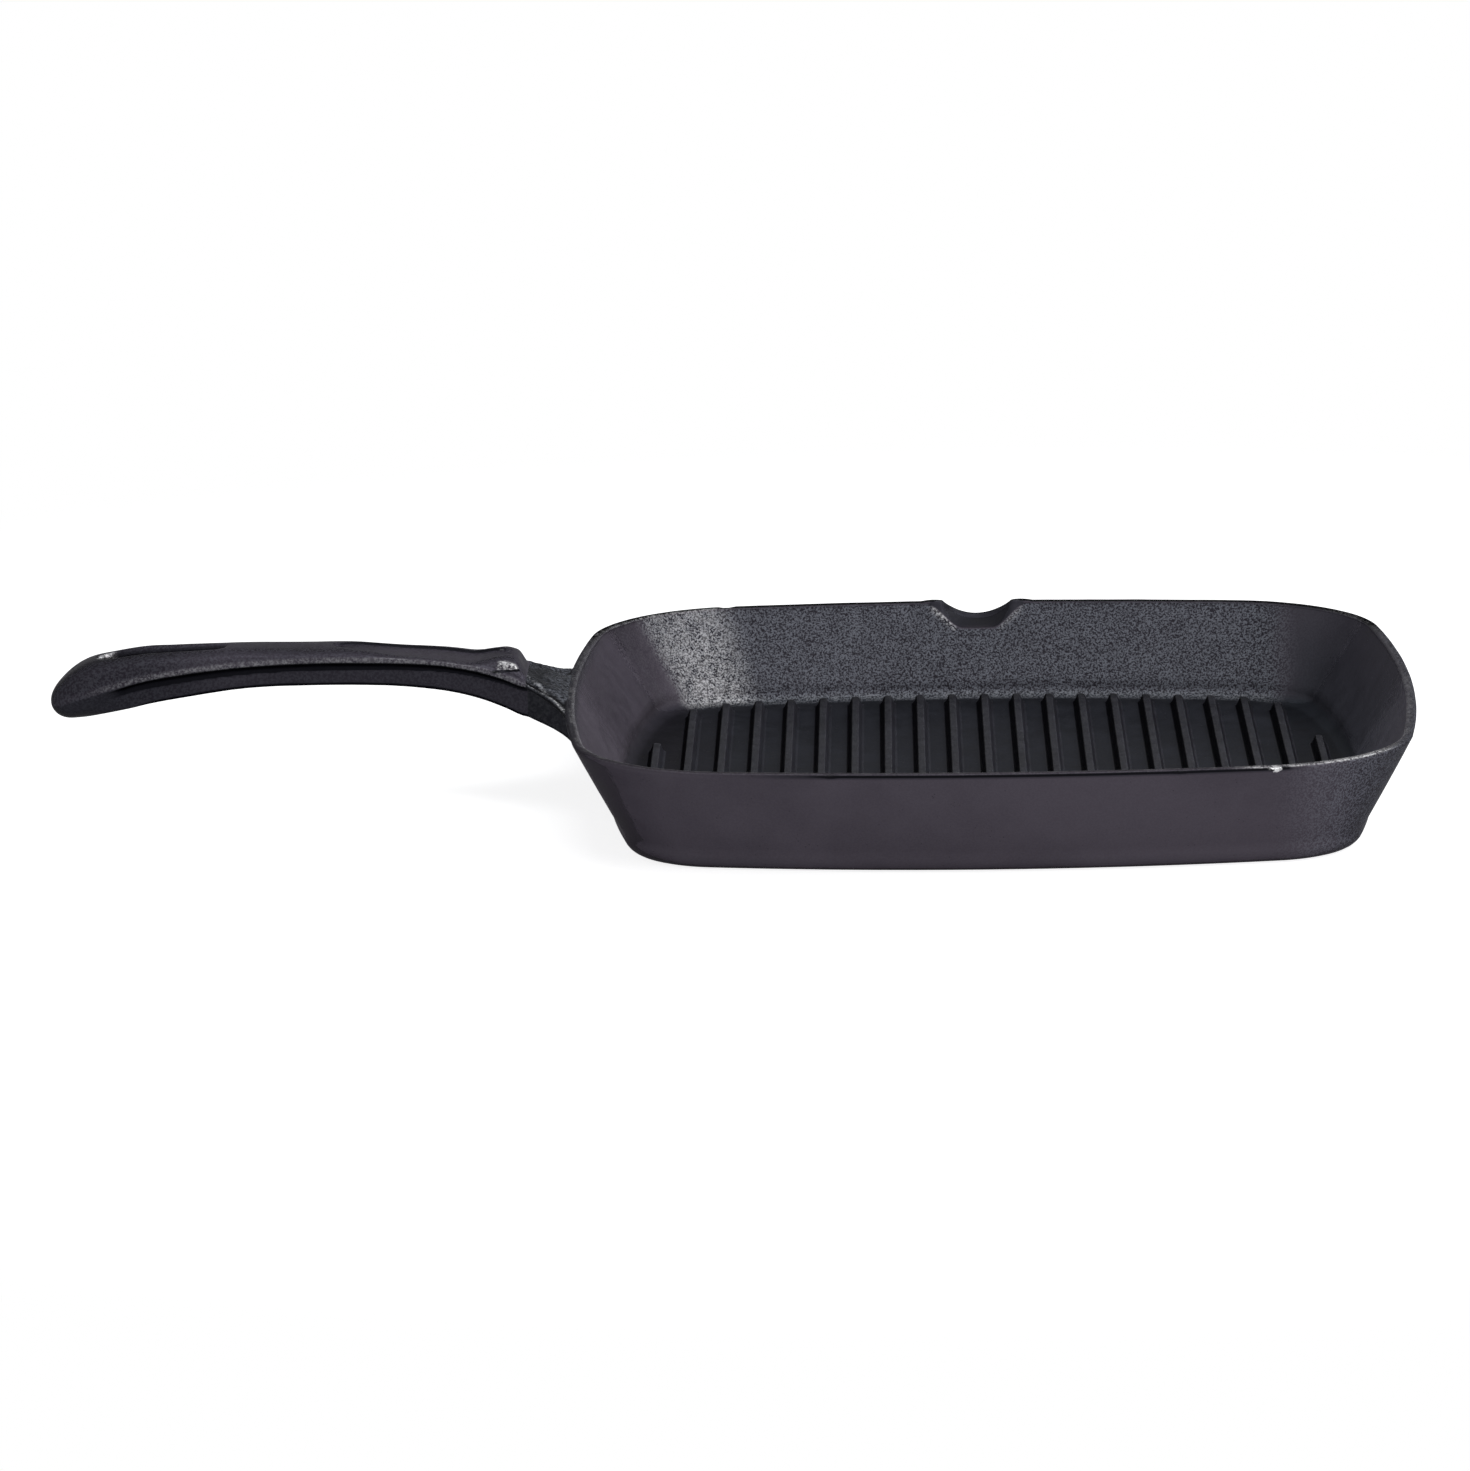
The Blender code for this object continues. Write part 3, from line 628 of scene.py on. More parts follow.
def handle_crown(out):
    """How far the middle of the top stands above the edge, without the lip's block and the thumb rest."""
    if out <= NECK_LENGTH:
        return mix(NECK_CROWN, STEP_CROWN, along_neck(out))
    knots = [(0.0, STEP_CROWN), (0.02, LIP_SHOULDER), (0.07, LIP_SHOULDER)]
    knots += between(THUMB_CROWN, GRIP_CROWN, (0.13, 0.0), (0.24, 0.0), (0.36, 0.9), (0.46, 1.0))
    knots += between(GRIP_CROWN, TIP_CROWN, (0.57, 0.12), (0.66, 0.24), (0.74, 0.39), (0.80, 0.54))
    knots += between(GRIP_CROWN, TIP_CROWN, (0.87, 0.68), (0.94, 0.83), (1.0, 1.0))
    return smooth_through(knots, along_grip(out))


def lip_block(out, y):
    """The block of the lip: it rises in the step, has steep sides and runs out into the thumb rest."""
    rise = math.sin(min(1.0, max(0.0, out - NECK_LENGTH) / STEP_LENGTH) * math.pi / 2)
    run_out = fade(out - NECK_LENGTH, STEP_LENGTH, LIP_BLOCK_LENGTH)
    across = min(1.0, abs(y) / (LIP_BLOCK_WIDTH / 2))
    return LIP_HEIGHT * rise * run_out * math.sqrt(1 - across**6)


def handle_depth(out):
    """How far the web's underside lies below the edge."""
    knots = [(-0.16, NECK_DEPTH + 6.2 * MM), (-0.09, NECK_DEPTH + 0.4 * MM), (0.0, NECK_DEPTH - 0.2 * MM)]
    knots += between(NECK_DEPTH, GRIP_DEPTH, (0.09, 0.45), (0.20, 0.72), (0.30, 0.92))
    knots += between(0.0, GRIP_DEPTH, (0.45, 1.01), (0.58, 0.97), (0.72, 1.01), (0.86, 1.0))
    knots += between(0.0, GRIP_DEPTH, (0.95, 0.95), (1.0, 0.85))
    return smooth_through(knots, along_grip(out))


def handle_half_width(out):
    knots = between(LIP_WIDTH / 2, GRIP_WIDTH / 2, (0.0, 0.0), (0.13, 0.45), (0.32, 1.0), (0.58, 1.0))
    knots += [(0.86, TIP_WIDTH / 2), (1.0, TIP_WIDTH / 2)]
    width = smooth_through(knots, along_grip(out))
    inward = min(max(FLARE_RADIUS - out - FLARE_SINK, 0.0), FLARE_RADIUS)
    return width + FLARE_RADIUS - math.sqrt(FLARE_RADIUS**2 - inward**2)


def web_half_width(out):
    knots = between(NECK_WEB_WIDTH / 2, WEB_WIDTH / 2, (-0.16, 0.0), (0.0, 0.72), (0.16, 0.96), (0.45, 1.0))
    knots += between(WEB_WIDTH / 2, TIP_WIDTH / 2, (0.60, 0.12), (0.78, 0.45), (0.92, 0.72), (1.0, 0.78))
    return smooth_through(knots, along_grip(out))


def groove(out, share):
    """Depth of the groove that parts the neck's edge beads from its raised middle."""
    if out > NECK_LENGTH:
        return 0.0
    return NECK_GROOVE * max(0.0, 1 - ((share - GROOVE_PLACE) / GROOVE_HALF_WIDTH) ** 2)


def dish_border(along):
    """The thumb rest's border, as a share of the handle's half width."""
    return DISH_WIDTH * np.sin(along * math.pi) ** 0.4


def dish(out, share):
    """Depth of the thumb rest: a level floor with a crisp border, closed in a curve at both ends."""
    along = (out - DISH_START) / DISH_LENGTH
    if not 0 < along < 1:
        return 0.0
    return DISH_DEPTH * fade(share / dish_border(along), DISH_FLAT, 1.0)


def top_height(out, share, half_width):
    """Height of the top at a share of the half width."""
    crown = handle_crown(out) * (1 - share**CROWN_POWER) ** (1 / CROWN_POWER)
    raised = handle_edge(out) + crown + lip_block(out, share * half_width)
    return raised - dish(out, share) - groove(out, share)


def handle_section(out):
    """The T section, as (y, z) points from the middle of the top, with the right side first."""
    half_width = handle_half_width(out)
    edge = handle_edge(out)
    bottom = edge - handle_depth(out)
    web = min(web_half_width(out), half_width - 1.3 * FLANGE_EDGE)
    right = [(sin * half_width, top_height(out, sin, half_width)) for sin, _ in quarter_turn(TOP_STEPS)[:-1]]
    first = len(right)
    for sin, cos in quarter_turn(4):
        right.append((half_width - FLANGE_EDGE * (1 - cos), edge - FLANGE_EDGE * sin))
    flange_foot = half_width - FLANGE_EDGE
    under = edge - FLANGE_EDGE
    for sin, cos in quarter_turn(8)[-2::-1]:
        right.append((web + (flange_foot - web) * (1 - cos), under - UNDERCUT_FILLET * (1 - sin)))
    side_foot = bottom + WEB_ROUND
    side_top = right[-1][1]
    right += [(web, mix(side_top, side_foot, share)) for share in (0.25, 0.5, 0.75)]
    for sin, cos in quarter_turn(5):
        right.append((web - WEB_ROUND * (1 - cos), side_foot - WEB_ROUND * sin))
    right += [(mix(web - WEB_ROUND, 0.0, share), bottom) for share in (0.33, 0.67, 1.0)]
    right = right[:first] + rounded_below(right[first:], out, half_width, edge, edge - bottom)
    left = [(-y, z) for y, z in reversed(right[1:-1])]
    return right + left


def rounded_below(points, out, half_width, edge, depth):
    """The points below the edge, drawn onto a half ellipse as the section nears the tip."""
    share = float(ease(BULB_HASTE * (1 - (HANDLE_REACH - out) / BULB_LENGTH)))
    rounded = []
    for (y, z), (sin, cos) in zip(points, quarter_turn(len(points) - 1)):
        rounded.append((mix(y, half_width * cos, share), mix(z, edge - depth * sin, share)))
    return rounded


def handle_ring(out, size=1.0):
    middle = RIM_HEIGHT - NOSE_DROP
    x = -RIM_SIDE / 2 - out
    return np.array([(x, y * size, middle + (z - middle) * size) for y, z in handle_section(out)])


def wall_side(y, z, inset):
    """X of the pan's outer wall on the handle's side, moved in by inset."""
    share = np.minimum(1.0, wall_share(z))
    half = RIM_SIDE / 2 - WALL_DRAFT * (1 - share) - inset
    side_radius = mix(BASE_SIDE_RADIUS, RIM_SIDE_RADIUS, share)
    return -(half - side_radius + np.sqrt(side_radius**2 - y * y))


def handle_loft():
    """The whole handle without its slot, from inside the pan's wall out to the nose."""
    nose_start = HANDLE_REACH - NOSE_LENGTH
    inner = np.linspace(HANDLE_START, -FLARE_SINK, ROOT_STEPS)[:-1]
    flare = -FLARE_SINK + (NECK_LENGTH + FLARE_SINK) * np.linspace(0, 1, FLARE_STEPS) ** 1.5
    step = np.linspace(NECK_LENGTH, NECK_LENGTH + STEP_LENGTH, CLIMB_STEPS)[1:]
    grip = np.linspace(NECK_LENGTH + STEP_LENGTH, nose_start, GRIP_STEPS)[1:]
    rings = [handle_ring(out) for out in np.concatenate([inner, flare, step, grip])]
    for angle in np.linspace(0, math.radians(88), NOSE_STEPS)[1:]:
        rings.append(handle_ring(nose_start + NOSE_LENGTH * math.sin(angle), math.cos(angle)))
    first = rings[0].copy()
    first[:, 0] = wall_side(first[:, 1], first[:, 2], ROOT_DEPTH)
    for i, here in enumerate(rings[:-1]):
        here[:, 0] = np.minimum(here[:, 0], first[:, 0] - 0.02 * MM * (i + 1))
    tip = (-RIM_SIDE / 2 - HANDLE_REACH, 0.0, RIM_HEIGHT - NOSE_DROP)
    return lofted("handle_loft", [first] + rings, "across", tip)


def slot_outline(grow):
    """Teardrop of two arcs, the wide one nearest the tip, in plan."""
    wide = SLOT_WIDE_END / 2 + grow
    narrow = SLOT_NARROW_END / 2 + grow
    lean = math.asin((wide - narrow) / (SLOT_NARROW_X - SLOT_WIDE_X))
    points = []
    for centre, radius, start, end in (
        (SLOT_WIDE_X, wide, math.pi / 2 - lean, 3 * math.pi / 2 + lean),
        (SLOT_NARROW_X, narrow, -math.pi / 2 + lean, math.pi / 2 - lean),
    ):
        for angle in np.linspace(start, end, SLOT_STEPS):
            points.append((centre + radius * math.cos(angle), radius * math.sin(angle)))
    return points


def slot_cutter():
    """The slot, flaring at both mouths so that their edges are round and follow the grip's surface."""
    mouth = quarter_turn(FILLET_STEPS)
    rings = [slot_ring(sin, cos, False) for sin, cos in reversed(mouth)]
    rings += [slot_ring(sin, cos, True) for sin, cos in mouth]
    low, high = rings[0].copy(), rings[-1].copy()
    low[:, 2] -= RIM_HEIGHT / 2
    high[:, 2] += RIM_HEIGHT / 2
    return lofted("slot_cutter", [low, *rings, high], "flat", "flat")


def slot_ring(sin, cos, top):
    """One ring of a mouth, from the straight slot (sine 0) to the open edge on the surface (sine 1)."""
    sunk = SLOT_MOUTH * (1 - sin) - 0.05 * MM
    points = []
    for x, y in slot_outline(SLOT_MOUTH * (1 - cos)):
        out = -RIM_SIDE / 2 - x
        if top:
            half_width = handle_half_width(out)
            z = top_height(out, min(1.0, abs(y) / half_width), half_width) - sunk
        else:
            z = handle_edge(out) - handle_depth(out) + sunk
        points.append((x, y, z))
    return np.array(points)


def wall_patch():
    """A stretch of the pan's wall, just under its skin, for the neck to grow out of."""
    heights = np.linspace(BASE_FILLET + 1 * MM, RIM_HEIGHT - RIM_ROUND, PATCH_STEPS_UP)
    rings = []
    for y in np.linspace(-PATCH_WIDTH / 2, PATCH_WIDTH / 2, PATCH_STEPS_ACROSS):
        section = [(wall_side(y, z, PATCH_SINK), y, z) for z in heights]
        for sin, cos in quarter_turn(ROUND_STEPS)[1:]:
            z = RIM_HEIGHT - RIM_ROUND * (1 - sin) - PATCH_SINK * sin
            section.append((wall_side(y, RIM_HEIGHT, PATCH_SINK + RIM_ROUND * (1 - cos)), y, z))
        section.append((wall_side(y, RIM_HEIGHT, PATCH_DEPTH), y, RIM_HEIGHT - PATCH_SINK))
        section.append((wall_side(y, heights[0], PATCH_DEPTH), y, heights[0]))
        rings.append(np.array(section))
    return lofted("wall_patch", rings, "flat", "flat")


def smooth_points(piece, rounds, weight):
    """Averages each point with its neighbours, without shrinking the shape as a whole."""
    mesh = piece.data
    edges = np.empty(len(mesh.edges) * 2, np.int32)
    mesh.edges.foreach_get("vertices", edges)
    a, b = edges.reshape(-1, 2).T
    count = len(mesh.vertices)
    degree = np.bincount(a, minlength=count) + np.bincount(b, minlength=count)
    points = vectors_of(piece, "co")
    around = np.empty_like(points)
    for step in range(2 * rounds):
        for axis in range(3):
            ahead, back = points[b, axis], points[a, axis]
            around[:, axis] = np.bincount(a, ahead, count) + np.bincount(b, back, count)
        pull = 0.5 if step % 2 == 0 else -0.49
        points += (around / degree[:, None] - points) * np.reshape(pull * weight, (-1, 1))
    move_points(piece, points)


def grown_handle():
    """The handle with its slot, joined to a stretch of the wall, as one mesh with even faces."""
    grown = handle_loft()
    tool, patch = slot_cutter(), wall_patch()
    for operation, other in (("DIFFERENCE", tool), ("UNION", patch)):
        boolean = grown.modifiers.new(operation.lower(), "BOOLEAN")
        boolean.operation = operation
        boolean.solver = "EXACT"
        boolean.object = other
    remesh = grown.modifiers.new("even faces", "REMESH")
    remesh.mode = "VOXEL"
    remesh.voxel_size = HANDLE_VOXEL
    graph = bpy.context.evaluated_depsgraph_get()
    grown.data = bpy.data.meshes.new_from_object(grown.evaluated_get(graph), depsgraph=graph)
    grown.modifiers.clear()
    for used in (tool, patch):
        bpy.data.objects.remove(used, do_unlink=True)
    return grown


def handle():
    """Neck and grip, softened where they grow out of the wall, then parted at the step's foot."""
    grown = grown_handle()
    smooth_points(grown, SMOOTH_ROUNDS, 1.0)
    points = vectors_of(grown, "co")
    from_wall = wall_side(points[:, 1], points[:, 2], 0.0) - points[:, 0]
    low = fade(points[:, 2], RIM_HEIGHT - 3 * MM, RIM_HEIGHT - 1 * MM)
    smooth_points(grown, NECK_ROOT_ROUNDS, fade(from_wall, 1 * MM, 5 * MM) * low)
    grown.data.shade_smooth()
    uneven(grown, 0.8 * WAVE_DEPTH)
    split_x = -RIM_SIDE / 2 - NECK_LENGTH
    on_neck = ease(points[:, 0], split_x - 1 * MM, split_x + 2 * MM)
    upward = ease(vectors_of(grown, "normal")[:, 2], 0.3, 0.8)
    uneven(grown, NECK_BUMP_DEPTH, on_neck * upward, NECK_BUMP_SIZE)
    neck = part_off(grown, "cast_neck", split_x, keep_inner=True)
    grip = part_off(grown, "cast_grip", split_x, keep_inner=False)
    bpy.data.objects.remove(grown, do_unlink=True)
    finish_piece(neck, "neck", "handle_neck")
    finish_piece(grip, "grip", "handle_grip")


def part_off(whole, name, x, keep_inner):
    """One side of the handle, closed at the cut."""
    shape = bmesh.new()
    shape.from_mesh(whole.data)
    cut = bmesh.ops.bisect_plane(
        shape,
        geom=shape.verts[:] + shape.edges[:] + shape.faces[:],
        plane_co=(x, 0, 0),
        plane_no=(1, 0, 0),
        clear_inner=keep_inner,
        clear_outer=not keep_inner,
    )
    rim = [item for item in cut["geom_cut"] if isinstance(item, bmesh.types.BMEdge)]
    bmesh.ops.holes_fill(shape, edges=rim, sides=0)
    piece = piece_from(shape, bpy.data.meshes.new(name))
    piece.data.set_sharp_from_angle(angle=math.radians(60))
    return piece


# Materials

# What is painted on each point of a piece: how sandy the iron is, with the sand also as a painted sheen; how
# worn bare, with painted highlights in the same bright colour; how dark, mostly as painted shade; its tone,
# with painted light and shade; and how bluish it is
PAINTS = ("grain_and_sheen", "wear_and_highlight", "dark_and_painted_shade", "tone_and_painted_light", "cool")
MOTTLE_SIZE = 45 * MM
MOTTLE_SHARE = 0.14
PATCH_SIZE = 7 * MM
PATCH_SHARE = 0.11
MIDDLE_TONE = 0.30
COARSE_SIZE = 2.4 * MM
PORE_SIZE = 1.5 * MM
PORE_SPREAD = 5 * MM
SAND_COVER = 0.75
# The painted darkening, mostly painted shade: how far it turns the colour dark, and where it is deepest,
# near-black
DARK_AND_SHADE_COVER = 0.85
DEEP_SHADE_RANGE = (0.80, 1.0)
DEEP_SHADE_COVER = 0.8
PORE_COVER = 0.6


class Shading:
    """A small helper that adds and links nodes of one material or world."""

    def __init__(self, owner):
        owner.use_nodes = True
        self.tree = owner.node_tree
        self.shader = self.tree.nodes.get("Principled BSDF")

    def feed(self, node, inputs):
        """Gives each named input a number, a colour or what another node puts out."""
        for name, source in inputs.items():
            if isinstance(source, (int, float)):
                node.inputs[name].default_value = source
            elif isinstance(source, tuple):
                node.inputs[name].default_value = (*source, 1.0)
            else:
                self.tree.links.new(source, node.inputs[name])

    def node(self, kind, inputs, **settings):
        made = self.tree.nodes.new(kind)
        for key, value in settings.items():
            setattr(made, key, value)
        self.feed(made, inputs)
        return made

    def place(self):
        return self.node("ShaderNodeTexCoord", {}).outputs["Object"]

    def noise(self, size, detail, roughness=0.55):
        inputs = {"Scale": 1.0 / size, "Detail": detail, "Roughness": roughness, "Vector": self.place()}
        return self.node("ShaderNodeTexNoise", inputs).outputs["Fac"]

    def pits(self, size):
        inputs = {"Scale": 1.0 / size, "Vector": self.place()}
        return self.node("ShaderNodeTexVoronoi", inputs).outputs["Distance"]

    def painted(self, name):
        return self.node("ShaderNodeAttribute", {}, attribute_name=name).outputs["Fac"]

    def span(self, value, low, high, to_low=0.0, to_high=1.0):
        inputs = {"Value": value, "From Min": low, "From Max": high, "To Min": to_low, "To Max": to_high}
        return self.node("ShaderNodeMapRange", inputs, interpolation_type="SMOOTHSTEP").outputs["Result"]

    def maths(self, operation, a, b):
        return self.node("ShaderNodeMath", {0: a, 1: b}, operation=operation).outputs[0]

    def times(self, a, b):
        return self.maths("MULTIPLY", a, b)

    def plus(self, a, b):
        return self.maths("ADD", a, b)

    def blend(self, share, a, b):
        inputs = {"Factor": share, "A": a, "B": b}
        return self.node("ShaderNodeMix", inputs, data_type="RGBA").outputs["Result"]

    def bump(self, height, strength, depth, *onto):
        inputs = {"Height": height, "Strength": strength, "Distance": depth}
        inputs.update(("Normal", normal) for normal in onto)
        return self.node("ShaderNodeBump", inputs).outputs["Normal"]

    def either(self, share, a, b):
        """Two shaders mixed by a share, which is 0 for the first."""
        return self.node("ShaderNodeMixShader", {0: share, 1: a.outputs[0], 2: b.outputs[0]})

    def seen_rays(self):
        """1 for the rays that show the background: the camera's, and those that metal or glass sends on."""
        paths = self.node("ShaderNodeLightPath", {}).outputs
        total = paths["Is Camera Ray"]
        for name in ("Is Glossy Ray", "Is Transmission Ray"):
            total = self.maths("MAXIMUM", total, paths[name])
        return total


def cast_iron(name, dark, light, roughness, grazing, sand_size):
    """Seasoned sand-cast iron: mottled near-black oxide, sand grains, pores and bare edges where worn, with
    painted highlights, painted shade and painted light from the painted attributes.
    """
    material = bpy.data.materials.new(name)
    make = Shading(material)
    grain_and_sheen, wear_and_highlight, dark_and_painted_shade, painted_light, cool = (make.painted(label) for label in PAINTS)
    mottle = make.span(make.noise(MOTTLE_SIZE, 3), 0.38, 0.62)
    patches = make.span(make.noise(PATCH_SIZE, 4, 0.6), 0.35, 0.65)
    sand = make.noise(sand_size, 3, 0.7)
    coarse = make.noise(COARSE_SIZE, 3, 0.6)
    pore_here = make.span(make.noise(PORE_SPREAD, 2), 0.52, 0.68)
    pore = make.times(make.span(make.pits(PORE_SIZE), 0.0, 0.22, 1.0, 0.0), pore_here)

    tone_and_painted_light = make.plus(make.times(mottle, MOTTLE_SHARE), make.times(patches, PATCH_SHARE))
    # The painted tone attribute adds each piece's painted light and shade to the random tone
    tone_and_painted_light = make.plus(make.plus(tone_and_painted_light, MIDDLE_TONE), painted_light)
    colour = make.blend(cool, make.blend(tone_and_painted_light, dark, light), make.blend(tone_and_painted_light, COOL_DARK, COOL_LIGHT))
    sandy = make.blend(make.span(sand, 0.43, 0.57), SAND_SHADE, SAND_LIGHT)
    colour = make.blend(make.times(grain_and_sheen, SAND_COVER), colour, sandy)
    # The painted darkening, mostly painted shade, turns the colour dark, and near-black where that shade is
    # deepest
    deep_shade = make.span(dark_and_painted_shade, *DEEP_SHADE_RANGE)
    colour = make.blend(make.times(dark_and_painted_shade, DARK_AND_SHADE_COVER), colour, DARK_AND_SHADE_COLOUR)
    colour = make.blend(make.times(deep_shade, DEEP_SHADE_COVER), colour, DEEP_SHADE_BLACK)
    # Bare iron where worn, and painted highlights in the same bright colour
    bare = make.plus(make.times(make.span(coarse, 0.36, 0.60), 0.5), make.span(sand, 0.45, 0.60))
    wear_and_highlight_here = make.times(wear_and_highlight, bare)
    colour = make.blend(wear_and_highlight_here, colour, BARE_IRON_AND_HIGHLIGHT)
    colour = make.blend(make.times(pore, PORE_COVER), colour, PORE)

    rough = make.plus(roughness - 0.05, make.times(patches, 0.10))
    rough = make.maths("SUBTRACT", rough, make.times(wear_and_highlight_here, 0.16))
    normal = make.bump(coarse, 0.30, 0.10 * MM)
    normal = make.bump(pore, 0.6, -0.06 * MM, normal)
    normal = make.bump(sand, grain_and_sheen, 0.15 * MM, normal)

    # Fully metallic where the painted shade is deepest, which darkens it further
    metallic = make.span(deep_shade, 0.0, 1.0, 0.8, 1.0)
    inputs = {"Base Color": colour, "Metallic": metallic, "Roughness": rough, "Normal": normal}
    make.feed(make.shader, inputs)
    make.feed(make.shader, {"Specular IOR Level": 0.2, "Specular Tint": (grazing, grazing, grazing)})
    return material


COOL_DARK = (0.030, 0.034, 0.041)
COOL_LIGHT = (0.088, 0.096, 0.116)
# Colours of the painted darkening, which is mostly painted shade
DARK_AND_SHADE_COLOUR = (0.010, 0.0105, 0.014)
DEEP_SHADE_BLACK = (0.003, 0.003, 0.004)
# Bare iron, also the colour of the painted highlights
BARE_IRON_AND_HIGHLIGHT = (0.48, 0.48, 0.49)
SAND_SHADE = (0.004, 0.0045, 0.0065)
SAND_LIGHT = (0.118, 0.128, 0.149)
PORE = (0.008, 0.008, 0.009)
# Dark and light tone, roughness, how light the iron turns where it is seen at a low angle, size of the sand
MATERIALS = {
    "pan": cast_iron("pan_iron", (0.036, 0.031, 0.040), (0.104, 0.092, 0.114), 0.54, 0.05, 0.60 * MM),
    "rib": cast_iron("rib_iron", (0.030, 0.028, 0.036), (0.086, 0.080, 0.098), 0.48, 0.08, 0.60 * MM),
    "neck": cast_iron("neck_iron", (0.022, 0.022, 0.027), (0.074, 0.075, 0.088), 0.52, 0.05, 1.00 * MM),
    "grip": cast_iron("grip_iron", (0.022, 0.019, 0.026), (0.074, 0.065, 0.084), 0.48, 0.30, 0.75 * MM),
}


# Painting

# Where the pan's looks change: ranges of X and of height, the least Y, and a place along the rim
BACK_WALL_END = (0.090, 0.102)
LEFT_WALL_END = (-0.095, -0.080)
RIGHT_CORNER = (0.092, 0.104)
SAND_AND_SHEEN_OUTSIDE = (0.078, 0.114)
# The outside is painted lighter towards its right end, as painted light
OUTSIDE_PAINTED_LIGHT = (0.080, 0.115)
# Where along X the painted highlight line on the near rim runs
NEAR_RIGHT_RIM = (0.078, 0.112)
OFF_FLOOR = (FLOOR + 0.1 * MM, FLOOR + 0.4 * MM)
RIM_TOP = (RIM_HEIGHT - 1.0 * MM, RIM_HEIGHT - 0.5 * MM)
SPOUT_FROM_Y = 0.100
BACK_FROM_Y = 0.070
BESIDE_KNOCK = 2.7 * MM


def finish_piece(piece, slot, *nodes):
    """Paints a piece, gives it its iron, and ties it to the frame."""
    looks = LOOKS[slot](vectors_of(piece, "co"), vectors_of(piece, "normal"))
    for name, values in zip(PAINTS, looks):
        paint(piece, name, values)
    piece.data.materials.clear()
    piece.data.materials.append(MATERIALS[slot])
    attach(piece, "root")
    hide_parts(*nodes)


def pan_looks(points, normals):
    """The pan's body: each paint has its own function, and the bare iron and painted highlights are those of
    the rim and the walls.
    """
    grain_and_sheen = pan_grain_and_sheen(points, normals)
    wear_and_highlight = rim_wear_and_highlight(points, normals) + wall_painted_highlight(points, normals)
    dark_and_painted_shade = pan_dark_and_painted_shade(points, normals)
    return grain_and_sheen, wear_and_highlight, dark_and_painted_shade, pan_painted_light(points, normals), pan_cool(points, normals)


def rib_looks(points, normals):
    """The ribs: crests a little worn and painted with a highlight, and painted shade on their left sides,
    less on their right sides, and on their far ends.
    """
    crest = FLOOR + RIB_HEIGHT
    # A little bare iron on the crests, also a painted highlight on their rounded edges
    wear_and_highlight = 0.09 * ease(points[:, 2], crest - 0.3 * MM, crest - 0.1 * MM)
    # Painted shade on the left sides, less on the right sides, and on the far ends
    left_side_shade = 0.92 * ease(-normals[:, 0], 0.15, 0.40)
    right_side_shade = 0.30 * ease(normals[:, 0], 0.45, 0.75)
    far_end_shade = ease(points[:, 1], 0.095, 0.105) * ease(normals[:, 1], 0.2, 0.5)
    return 0.10, wear_and_highlight, clamp(left_side_shade + right_side_shade + far_end_shade), 0.0, 0.4


def neck_looks(points, normals):
    """The neck: sandy on top, painted highlights along its near edge and ridge, painted shade in its groove
    and hollows and on its sides and underside, and a top painted lighter.
    """
    x, y, _ = points.T
    out, _, half_width = handle_lines(x)
    upward = normals[:, 2]
    share = np.abs(y) / half_width
    near = -y / half_width
    # Painted highlights along the near edge and the ridge
    bead_highlight = 0.5 * band(near, 0.86, 0.95, 0.04) + 0.24 * band(past_ridge(out, near), -0.04, 0.04, 0.05)
    # Painted shade in the groove and the hollows beside the ridge
    groove_shade = 0.92 * band(share, GROOVE_PLACE - 0.06, GROOVE_PLACE + 0.05, 0.05)
    past = past_ridge(out, share)
    hollow_shade = 0.78 * np.maximum(band(past, -0.60, -0.13, 0.10), band(past, 0.12, 0.40, 0.08))
    lines = np.maximum(hollow_shade * ease(out, 2 * MM, 8 * MM), groove_shade) * ease(upward, 0.2, 0.5)
    grain_and_sheen = 0.25 + 0.65 * ease(upward, 0.3, 0.8)
    wear_and_highlight = 0.015 + (0.035 + bead_highlight) * ease(upward, 0.0, 0.4)
    # Painted shade on the sides and underside, and the top painted lighter
    return grain_and_sheen, wear_and_highlight, clamp(0.90 * fade(upward, 0.15, 0.50) + lines), 0.25 * ease(upward, 0.2, 0.6), 0.0


def grip_looks(points, normals):
    """The grip: evenly sandy, a painted highlight along the flange's edge, and darker towards the tip."""
    x, _, z = points.T
    out, edge, _ = handle_lines(x)
    # A painted highlight along the flange's edge
    flange = 0.25 * fade(np.abs(z - edge), 0.8 * MM, 1.6 * MM)
    tone_and_painted_light = flange - 0.5 * ease(out, 0.100, 0.130)
    return 0.25, grip_painted_highlight(points, normals), grip_painted_shade(points, normals), tone_and_painted_light, 0.0


def handle_lines(x):
    """Distance outwards from the rim, and the height of the handle's edge and its half width there."""
    out = -RIM_SIDE / 2 - x
    places = np.linspace(-FLARE_SINK, HANDLE_REACH, 200)
    edge = np.interp(out, places, [handle_edge(place) for place in places])
    half_width = np.interp(out, places, [handle_half_width(place) for place in places])
    return out, edge, half_width


def past_ridge(out, share):
    """How far a point of the neck's top is outwards from the ridge that runs from the block to the wall."""
    return share - mix(1.0, 0.41, clamp(out / NECK_LENGTH))


def beyond_slot(x, y):
    """Distance in plan from the slot's edge, outwards."""
    along = clamp((x - SLOT_WIDE_X) / (SLOT_NARROW_X - SLOT_WIDE_X))
    centre = mix(SLOT_WIDE_X, SLOT_NARROW_X, along)
    return np.hypot(x - centre, y) - mix(SLOT_WIDE_END, SLOT_NARROW_END, along) / 2


